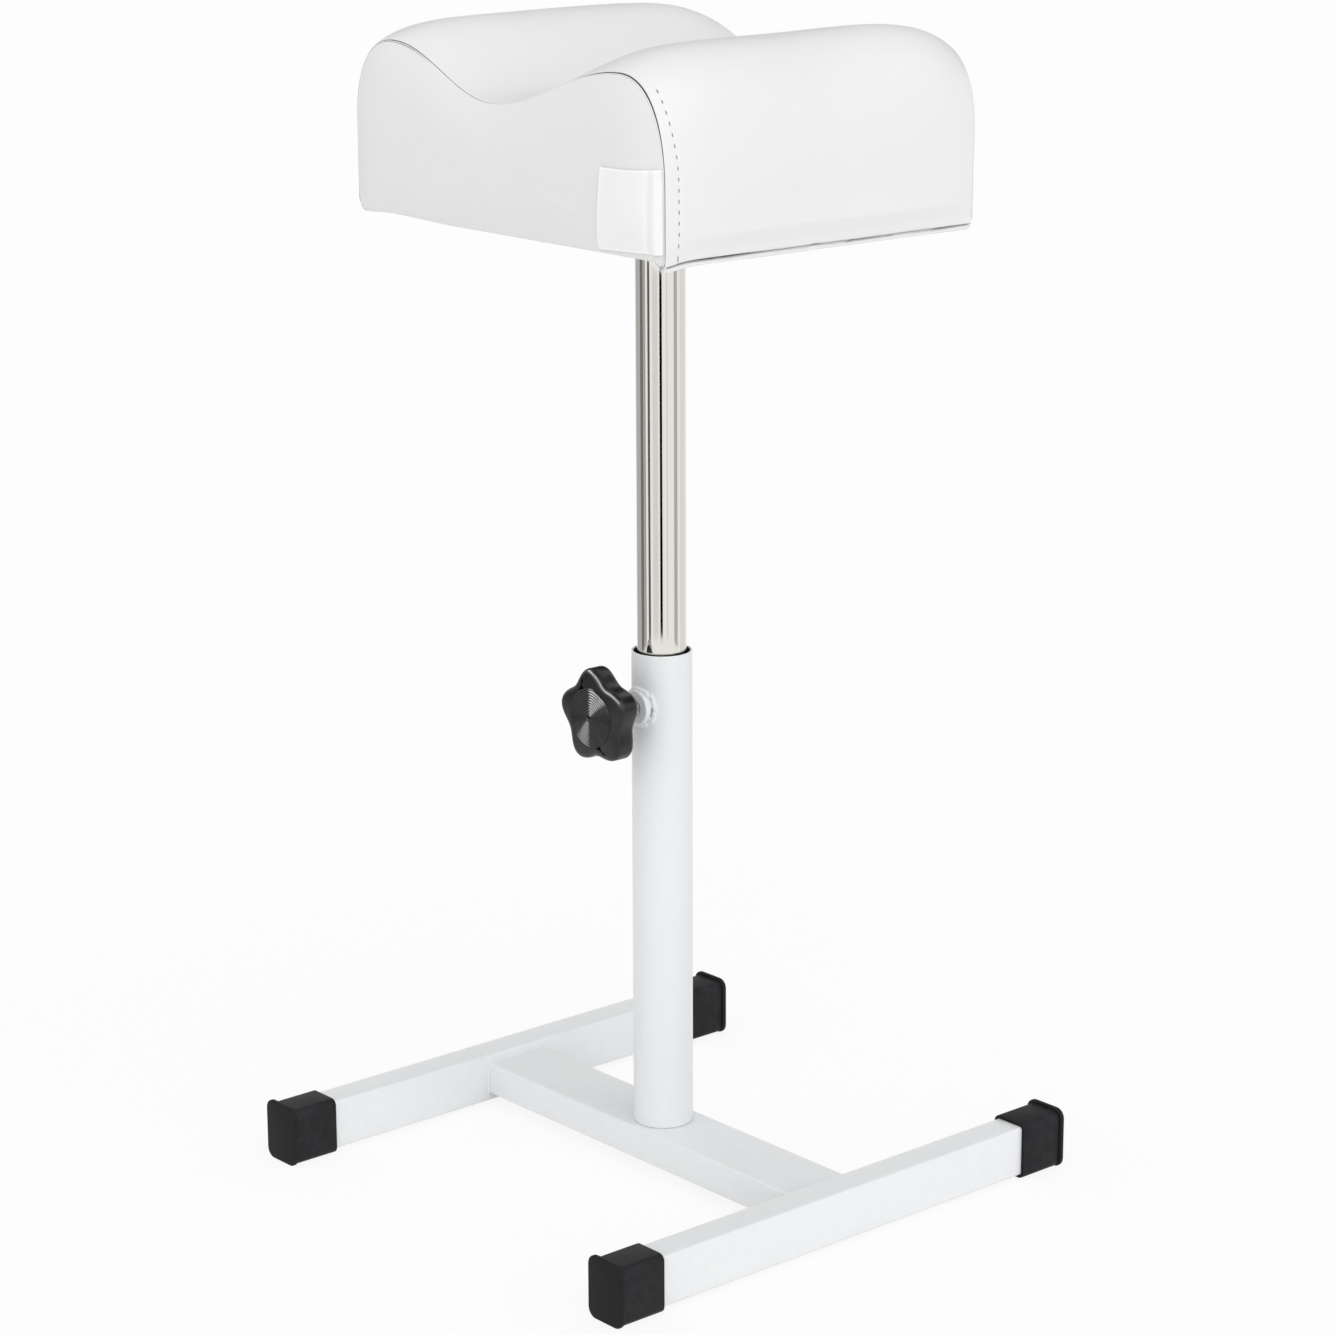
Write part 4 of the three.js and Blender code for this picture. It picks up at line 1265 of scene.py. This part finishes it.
def wander_along(places, size, seed):
    """A smooth random value from -1 to 1 at each place, with lumps of about the given size."""
    flat = [noise.noise(Vector(place) / size + Vector((seed, 0, 0))) for place in places.reshape(-1, 3)]
    return np.array(flat).reshape(places.shape[:-1])


def spaced(walked, spacing):
    """Picks points along a line, so that they are about as far apart as spacing says at each."""
    chosen = [0]
    for i in range(1, len(walked)):
        if walked[i] - walked[chosen[-1]] >= spacing[i] or i == len(walked) - 1:
            chosen.append(i)
    return np.array(chosen)


wrap_leather = leather("wrap_leather", stitched=True)
line, line_normals, walked = section_line(cushion_hem)
low_part = (line[:, 1] < hem_zone) & (np.abs(line[:, 0]) > half_width - hem_zone)
chosen = spaced(walked, np.where(low_part, hem_step, wrap_step))
line, line_normals, walked = line[chosen], line_normals[chosen], walked[chosen]

# The rows run across the strip, from the rear seam's allowance to the front one's.
arc = [math.pi / 2 * i / 6 for i in range(7)]
edge = [(wrap_seam, seam_allowance), (wrap_seam, seam_round * 1.7)]
edge += [(wrap_seam - seam_round * (1 - math.cos(a)), seam_round * (1 - math.sin(a))) for a in arc]
row = wrap_seam - seam_round
inner = []
gap = first_row
while row - gap > middle_gap:
    from_seam = wrap_seam - row
    near_stitches = stitch_row - stitch_lean - stitch_margin < from_seam < stitch_row + stitch_margin
    gap = stitch_rows if near_stitches else min(gap * row_growth, widest_row)
    row -= gap
    inner.append((row, 0.0))
rows = edge + inner + [(0.0, 0.0)] + [(-y, depth) for y, depth in (edge + inner)[::-1]]
row_y, row_depth = np.array(rows).T

base = np.zeros((len(rows), len(line), 3))
base[:, :, 0] = line[None, :, 0]
base[:, :, 1] = row_y[:, None]
base[:, :, 2] = line[None, :, 1]
for side in (-1, 1):
    under = (line[:, 1] < 1e-6) & (line[:, 0] * side > 0)
    run = half_width - np.abs(line[under, 0])
    longest = np.clip(half_length - np.abs(row_y) - hem_clear, shortest_hem, cushion_hem)
    share = (run - lower_corner) / (cushion_hem - lower_corner)
    run = lower_corner + np.clip(share, 0, 1)[None, :] * (longest[:, None] - lower_corner)
    base[:, under, 0] = side * (half_width - run)
normals = np.zeros_like(base)
normals[:, :, 0] = line_normals[None, :, 0]
normals[:, :, 2] = line_normals[None, :, 1]
to_seam = wrap_seam - np.abs(row_y)[:, None]

# The lower edge hangs in a full lip, which fades toward the front on the left.
inwards = half_width - np.abs(base[:, :, 0])
lipped = 1 - (base[:, :, 0] < 0) * eased((lip_fade_from - row_y) / lip_fade_run)[:, None]
lip = lip_drop * lipped * np.clip(1 - base[:, :, 2] / hem_zone, 0, 1)
base[:, :, 2] -= lip * (1 - eased((inwards - lip_turn) / lip_turn_run))
lifted = base + np.array([0, 0, seat_height])


def evened(field, rounds):
    """A field on a grid of rows and columns, smoothed."""
    for _ in range(rounds):
        wide = np.pad(field, 1, mode="edge")
        field = (wide[:-2, 1:-1] + wide[2:, 1:-1] + wide[1:-1, :-2] + wide[1:-1, 2:] + 2 * field) / 6
    return field


# The cover stands out with the foam, and is a little uneven.
rise = np.clip(line[:, 1] / swell_rise, 0, 1)[None, :]
designed = swollen(line, line_normals, np.abs(row_y) / half_length) * designed_share
pressing = np.sum(pressed_out(lifted + normals * designed[:, :, None]) * normals, axis=2) * rise
out = designed + evened(pressing, rounds=30) - row_depth[:, None]
out += wrap_dents * rise * wander_along(base, wrap_dent_size, 3)
out += puckers * rise * np.exp(-to_seam / pucker_reach) * wander_along(base, pucker_size, 5)

# The topstitching pulls the leather in along its row.
stitch_from_seam = stitch_lean * eased((line[:, 1] - stitch_lean_from) / (stitch_top - stitch_lean_from))
stitch_from_seam = stitch_row - stitch_from_seam
on_front_sides = (row_y < 0)[:, None] * (1 - eased((line[:, 1] - stitch_top) / furrow_fade))[None, :]
on_front_sides = on_front_sides * (np.abs(line[:, 0]) > stitch_side)[None, :]
stitched = np.exp(-((to_seam - stitch_from_seam[None, :]) / furrow_width) ** 2) * rise * on_front_sides
out -= stitched * (stitch_sink + stitch_sink_wave * np.cos(math.tau * walked / stitch_pitch))[None, :]

# The crease runs just above the lip, with the lip's swelling below it.
run_only = base * np.array([0, 1, 0])
height = crease_height - crease_taper * base[:, :, 1] / half_length
height = height + crease_wander * wander_along(run_only, crease_wander_size, 8)
height = height + crease_tremor * wander_along(run_only, crease_tremor_size, 9)
below = base[:, :, 2] - height
on_side = (np.abs(line[:, 0]) > half_width - crease_side)[None, :] * lipped
on_side = on_side * (1 - np.exp(-np.clip(to_seam, 0, 1) / seam_hold))
in_crease = on_side * np.exp(-(below / crease_width) ** 2)
out -= crease_depth * in_crease
out += on_side * lip_swell * np.exp(-((below + lip_below) / lip_width) ** 2)

wrap_places = hand_drawn(lifted + normals * out[:, :, None])
# The seam's allowance and the crease are painted dark, as their shadow; the crease gets the most.
seam_shadow_share = np.clip((row_depth - seam_shade_depth) / seam_shade_depth, 0, 1)
painted_shade = seam_shadow_share[:, None] * eased(line[:, 1] / seam_shade_height)[None, :]
painted_shade = painted_shade + crease_shade * in_crease ** 2
cut = np.stack(np.broadcast_arrays(walked[None, :], row_y[:, None]), axis=2)
bm = grid_piece(wrap_places, cut, np.clip(painted_shade, 0, 1))
wrap = finished(
    bm, "cushion_wrap", "mast", wrap_leather, ["cover_wrap"], crease=180, scatter=1e-9,
    heart=cushion_heart,
)
thickened(wrap, cover_thickness)


# Each end of the cushion is closed by one panel of the same leather, sewn to the wrap along the whole curve.
# Its edge rolls over the seam, the foam bulges it, and its lower edge is folded under the board.
panel_seam = 0.1098
panel_thickness = 0.0008
panel_roll = 0.00037
panel_sink = 0.0001
panel_fold = 0.0025
flap_runs = (0, 0.0072, 0.0078, 0.0244)
flap_reaches = (0.0013, 0.0013, 0.0074, cushion_hem)
flap_step = 0.45
under_from, under_run = 0.0008, 0.01
panel_step = 0.0016
bulge_reach = 0.034
bulge_slope = math.atan(3 * end_bulge / bulge_reach)
panel_rings, ring_power = 34, 1.5
panel_dents, panel_dent_size = 0.00015, 0.045

panel_leather = leather("panel_leather", stitched=False)
line, line_normals, walked = section_line(half_width)
chosen = spaced(walked, np.full(len(walked), panel_step))
line, line_normals = line[chosen], line_normals[chosen]
line[-1], line_normals[-1] = line[0], line_normals[0]
half_turn = [(math.pi - bulge_slope) * i / 8 for i in range(9)]
seam_path = [(0, seam_allowance), (0, 2 * panel_roll + panel_sink)]
seam_path += [(panel_roll * (1 - math.cos(a)), panel_roll + panel_sink - panel_roll * math.sin(a))
              for a in half_turn]
seam_path = np.array(seam_path)
seam_rings = len(seam_path)
# The first rings, down in the seam's gap, are painted dark as shadow.
seam_shadow_rings = [1, 1, 1, 0.5] + [0] * (len(half_turn) - 2)
run = half_width - np.abs(line[:, 0])
flap = np.interp(run, flap_runs, flap_reaches)
turned_under = eased((run - under_from) / under_run) * (line[:, 1] < lower_corner)
shares = 1 - np.linspace(0, 1, panel_rings + 1)[1:] ** ring_power
panels_made = {}


def relaxed(rings, held, rounds):
    """Closed rings round a middle, smoothed from the held outer ones inwards."""
    made = rings[:, :-1].copy()
    for _ in range(rounds):
        beside = np.roll(made, 1, axis=1) + np.roll(made, -1, axis=1)
        beyond = np.concatenate([made[:1], made[:-1]]) + np.concatenate([made[1:], made[-1:]])
        made[held:] = (beside + beyond)[held:] / 4
        made[-1] = made[-1].mean(axis=0)
    return np.concatenate([made, made[:, :1]], axis=1)


for end, cad_name in ((-1, "cover_end_front"), (1, "cover_end_rear")):
    # The outer rings go up the seam and round the roll, or under the board along the lower edge.
    levels = []
    for k, (roll_out, roll_depth) in enumerate(seam_path):
        if k < 2:
            fold_y, fold_depth = half_length - panel_seam - flap * (1 - flap_step * k), 0
        else:
            angle = half_turn[k - 2] / 2
            fold_y = half_length - panel_seam - panel_fold * (1 - math.sin(angle))
            fold_depth = panel_fold * (1 - math.cos(angle))
        y = panel_seam + roll_out * (1 - turned_under) + fold_y * turned_under
        depth = roll_depth * (1 - turned_under) + fold_depth * turned_under
        spot = line - line_normals * depth[:, None]
        levels.append(np.stack([spot[:, 0], end * y, spot[:, 1]], axis=1))
    # The inner rings shrink to the middle and bulge.
    face = levels[-1].copy()
    for share in shares:
        level = face.copy()
        level[:, 0] = face[:, 0] * share
        level[:, 2] = panel_centre_height + (face[:, 2] - panel_centre_height) * share
        apart = level[:, None, [0, 2]] - face[None, :, [0, 2]]
        from_edge = np.min(np.hypot(apart[..., 0], apart[..., 1]), axis=1)
        full = 1 - (1 - np.clip(from_edge / bulge_reach, 0, 1)) ** 3
        level[:, 1] = end * (half_length + (np.abs(face[:, 1]) - half_length) * share + end_bulge * full)
        levels.append(level)
    places = relaxed(np.array(levels), seam_rings, rounds=14) + np.array([0, 0, seat_height])
    # The foam presses the panel out, the more evenly the nearer its middle.
    pressing = pressed_out(places)[:, :, 1]
    pressing[:seam_rings] = 0
    near_heart = np.array([0] * seam_rings + [1 - share for share in shares])[:, None]
    middling = pressing[seam_rings:].mean(axis=0).mean()
    pressing = relaxed(pressing + (middling - pressing) * near_heart ** 2, seam_rings, rounds=60)
    places[:, :, 1] += pressing
    dents = panel_dents * wander_along(places, panel_dent_size, 13 + end)
    dents[:seam_rings] = 0
    places[:, :, 1] += end * dents
    # The panel's rings in the seam's gap get painted shadow.
    seam_shadow_share = np.array(seam_shadow_rings + [0] * panel_rings)
    painted_shade = seam_shadow_share[:, None] * eased(line[:, 1] / seam_shade_height)[None, :]
    bm = grid_piece(hand_drawn(places), painted_shade=painted_shade)
    panel = finished(
        bm, cad_name.replace("cover_end", "cushion_end"), "mast", panel_leather, [cad_name],
        crease=180, scatter=2e-6, heart=cushion_heart,
    )
    thickened(panel, panel_thickness)
    panels_made[end] = panel

for v, place in zip(foam.data.vertices, hand_drawn(foam_rest + moved * foam_give)):
    v.co = place


# The topstitching runs up both sides of the wrap 8 mm from the front seam, in thick white polyester thread.
# Each stitch lies between two needle holes and is sunk a little in the leather.
stitch_thread_radius = 0.00026
stitch_share = 0.8
stitch_spots = 5
stitch_bottom = 0.006
thread_sink = 0.0005
thread_rise = 0.0001

thread = finish_material(
    "polyester_thread", colour=(0.78, 0.77, 0.77, 1), shade=(0.66, 0.65, 0.65, 1), roughness=0.6,
    roughness_spread=0.1, grain=0.0002, patch=0.002, bump=0.00004,
)
bm = bmesh.new()
columns = cut[0, :, 0]
outer_rows, outer_places = row_y[len(edge):], wrap_places[len(edge):]
track = np.array([
    [np.interp(from_seam - wrap_seam, outer_rows, outer_places[:, i, axis]) for axis in range(3)]
    for i, from_seam in enumerate(stitch_from_seam)
])
outwards = normals[len(edge)]
first_stitch, last_stitch = math.ceil(columns[0] / stitch_pitch), math.floor(columns[-1] / stitch_pitch)
for number in range(first_stitch, last_stitch):
    spots = []
    for k in range(stitch_spots):
        share = k / (stitch_spots - 1)
        at = (number + (1 - stitch_share) / 2 + stitch_share * share) * stitch_pitch
        spot, away = (
            Vector([np.interp(at, columns, values[:, axis]) for axis in range(3)])
            for values in (track, outwards)
        )
        spots.append(spot + away * (thread_rise - (thread_rise + thread_sink) * (2 * share - 1) ** 4))
    if all(stitch_bottom < spot.z - seat_height < stitch_top and abs(spot.x) > stitch_side for spot in spots):
        weld_bead(bm, spots, stitch_thread_radius, spread=0.08, seed=number, sides=6)
finished(bm, "topstitching", "mast", thread, crease=180, scatter=1e-7)


# A satin ribbon tag is sewn flat on the front panel, with its right edge caught in the seam. It has a soft
# fold near that edge, and its own edges are bound with a tight weave.
tag_low, tag_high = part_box("label_tag")
tag_gap = 0.00025
tag_thickness = 0.00035
tag_fold_share = 0.9
tag_fold_height = 0.0008
tag_fold_width = 0.0026
tag_crease_share = 0.78
tag_crease_depth = 0.0004
tag_crease_width = 0.0018
tag_lift = 0.0005
tag_slant = 0.002
tag_bow = 0.0008
tag_inset = 0.0047
tag_tuck = 0.0012
tag_narrowing = 0.0031
tag_edge = 0.0008
tag_edge_rise = 0.00012
tag_columns = 72
tag_rows = 60
tag_width = tag_high.x - tag_low.x
tag_height = tag_high.z - tag_low.z
hem_colour = (0.99, 0.99, 0.99, 1)

satin, tree, shader = new_material("satin_ribbon")
cut_map = node(tree, "ShaderNodeUVMap", uv_map="cut").outputs[0]
warp, weft = (
    node(tree, "ShaderNodeTexWave", {
        "Vector": cut_map, "Scale": scale, "Distortion": 0.6,
    }, bands_direction=direction).outputs["Fac"]
    for direction, scale in (("X", 900.0), ("Y", 420.0))
)
weave = math_node(tree, "MULTIPLY_ADD", weft, 0.5, warp)
surface = placed_group(tree, surface_grain, Grain_size=0.0004, Patch_size=0.012)
tint = between(tree, surface.outputs["Patches"], (0.9, 0.9, 0.91, 1), (0.94, 0.94, 0.945, 1))
cut = node(tree, "ShaderNodeSeparateXYZ", {0: cut_map})
from_top = math_node(tree, "SUBTRACT", tag_height, cut.outputs["Y"])
from_ends = math_node(tree, "MINIMUM", cut.outputs["Y"], from_top)
hem = ranged(tree, math_node(tree, "MINIMUM", cut.outputs["X"], from_ends), 0.0014, 0.0009)
tint = between(tree, hem, tint, hem_colour)
surfaced(tree, shader, tint, ranged(tree, weave, 0.0, 1.5, 0.34, 0.5), weave, 0.00003, strength=0.6)
shader.inputs["Sheen Weight"].default_value = 0.25
shader.inputs["Sheen Roughness"].default_value = 0.3


def ridge(distance, width):
    """A smooth ridge of height 1 and about the given width."""
    return math.exp(-(distance / width) ** 2)


front = panels_made[-1].data
front_tree = BVHTree.FromPolygons([v.co for v in front.vertices], [tuple(f.vertices) for f in front.polygons])
across = np.linspace(0, 1, tag_columns)
up = np.linspace(0, 1, tag_rows)
tag_places = np.zeros((tag_rows, tag_columns, 3))
for j, v_share in enumerate(up):
    for i, u_share in enumerate(across):
        x = tag_low.x + tag_width * u_share
        z = tag_low.z + tag_height * v_share
        x += (1 - u_share) * (tag_inset + tag_narrowing * (2 * v_share - 1)) + u_share * tag_tuck
        z += tag_slant * (u_share - 0.5) - tag_bow * math.sin(math.pi * u_share) * v_share
        spot = front_tree.ray_cast(Vector((x, tag_low.y - 0.05, z)), Vector((0, 1, 0)))[0]
        spot = spot or front_tree.find_nearest(Vector((x, tag_low.y, z)))[0]
        fold = tag_fold_height * ridge((u_share - tag_fold_share) * tag_width, tag_fold_width)
        dip = tag_crease_depth * ridge((u_share - tag_crease_share) * tag_width, tag_crease_width)
        near_edge = min(u_share * tag_width, v_share * tag_height, (1 - v_share) * tag_height)
        bound = tag_edge_rise * ridge(near_edge, tag_edge)
        loose = tag_lift * (1 - u_share) ** 3
        tag_places[j, i] = (x, spot.y - tag_gap - tag_crease_depth - fold + dip - bound - loose, z)
tag_cut = np.stack(np.meshgrid(across * tag_width, up * tag_height), axis=2)
bm = grid_piece(tag_places, tag_cut)
tag = finished(bm, "ribbon_tag", "mast", satin, ["label_tag"], crease=180, heart=cushion_heart)
thickened(tag, tag_thickness, offset=0)


# A black non-woven dust cloth closes the underside over the folded-in leather. It is stretched flat and
# stapled along its turned edge, and hangs a little between the plate and the edge.
cloth_low, cloth_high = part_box("bottom_cloth")
cloth_corner = 0.012
cloth_sag = 0.0009
sag_steady, sag_uneven, sag_patches = 0.75, 0.25, 45
edge_fade, plate_clear, plate_fade = 0.015, 0.003, 0.012
cloth_hem = 0.009
cloth_gap = 0.0001
turned_edge_rise, turned_edge_width = 0.00012, 0.0008
cloth_columns = 96
cloth_rows = 80
staple_length = 0.0105
staple_width = 0.0011
staple_height = 0.0005
staple_round = 0.00018
staple_inset = 0.0055
staple_stray, staple_skew = 0.004, 0.3
staples_along, along_margin = 7, 0.012
staples_across, across_margin = 5, 0.02

dust_cloth = finish_material(
    "dust_cloth", colour=(0.03, 0.03, 0.033, 1), shade=(0.02, 0.02, 0.022, 1), roughness=0.85,
    roughness_spread=0.1, grain=0.0007, patch=0.004, bump=0.00012, Sheen_Weight=0.3,
)
cloth_size = cloth_high - cloth_low
cloth_places = np.zeros((cloth_rows, cloth_columns, 3))
for j in range(cloth_rows):
    for i in range(cloth_columns):
        x = cloth_low.x + cloth_size.x * i / (cloth_columns - 1)
        y = cloth_low.y + cloth_size.y * j / (cloth_rows - 1)
        past = Vector((abs(x) - cloth_high.x + cloth_corner, abs(y) - cloth_high.y + cloth_corner))
        if past.x > 0 and past.y > 0 and past.length > cloth_corner:
            kept = past.normalized() * cloth_corner
            x = math.copysign(cloth_high.x - cloth_corner + kept.x, x)
            y = math.copysign(cloth_high.y - cloth_corner + kept.y, y)
        to_edge = min(cloth_high.x - abs(x), cloth_high.y - abs(y))
        past_plate = max(abs(x) - flange_high.x, abs(y) - flange_high.y) - plate_clear
        hang = min(1, max(0, to_edge - cloth_hem) / edge_fade) * min(1, max(0, past_plate) / plate_fade)
        hang = eased(hang) * (sag_steady + sag_uneven * noise.noise(Vector((x, y, 0)) * sag_patches))
        turned_edge = turned_edge_rise * ridge(to_edge - cloth_hem, turned_edge_width)
        cloth_places[j, i] = (x, y, cloth_low.z + cloth_gap + turned_edge - cloth_sag * hang)
cloth_piece = finished(
    grid_piece(cloth_places), "dust_cloth", "mast", dust_cloth, ["bottom_cloth"], crease=180,
    heart=cushion_heart,
)
thickened(cloth_piece, cloth_size.z - cloth_gap)

bm = bmesh.new()
dice = random.Random(3)
along_run, along_row = cloth_high.x - along_margin, cloth_high.y - staple_inset
across_run, across_row = cloth_high.y - across_margin, cloth_high.x - staple_inset
places = []
for side in (-1, 1):
    for i in range(staples_along):
        places.append(((2 * (i + 0.5) / staples_along - 1) * along_run, side * along_row, 0))
    for i in range(staples_across):
        places.append((side * across_row, (2 * (i + 0.5) / staples_across - 1) * across_run, math.pi / 2))
for x, y, turn in places:
    x += (dice.random() - 0.5) * staple_stray * (turn == 0)
    y += (dice.random() - 0.5) * staple_stray * (turn > 0)
    lie = Matrix.Translation((x, y, cloth_low.z - staple_height / 2))
    lie = lie @ Matrix.Rotation(turn + (dice.random() - 0.5) * staple_skew, 4, "Z")
    size = Matrix.Diagonal((staple_length, staple_width, staple_height, 1))
    crown = bmesh.ops.create_cube(bm, size=1, matrix=lie @ size)["verts"]
    rounded(bm, linked_edges(crown), staple_round, 2)
finished(bm, "staples", "mast", zinc, scatter=1e-8)
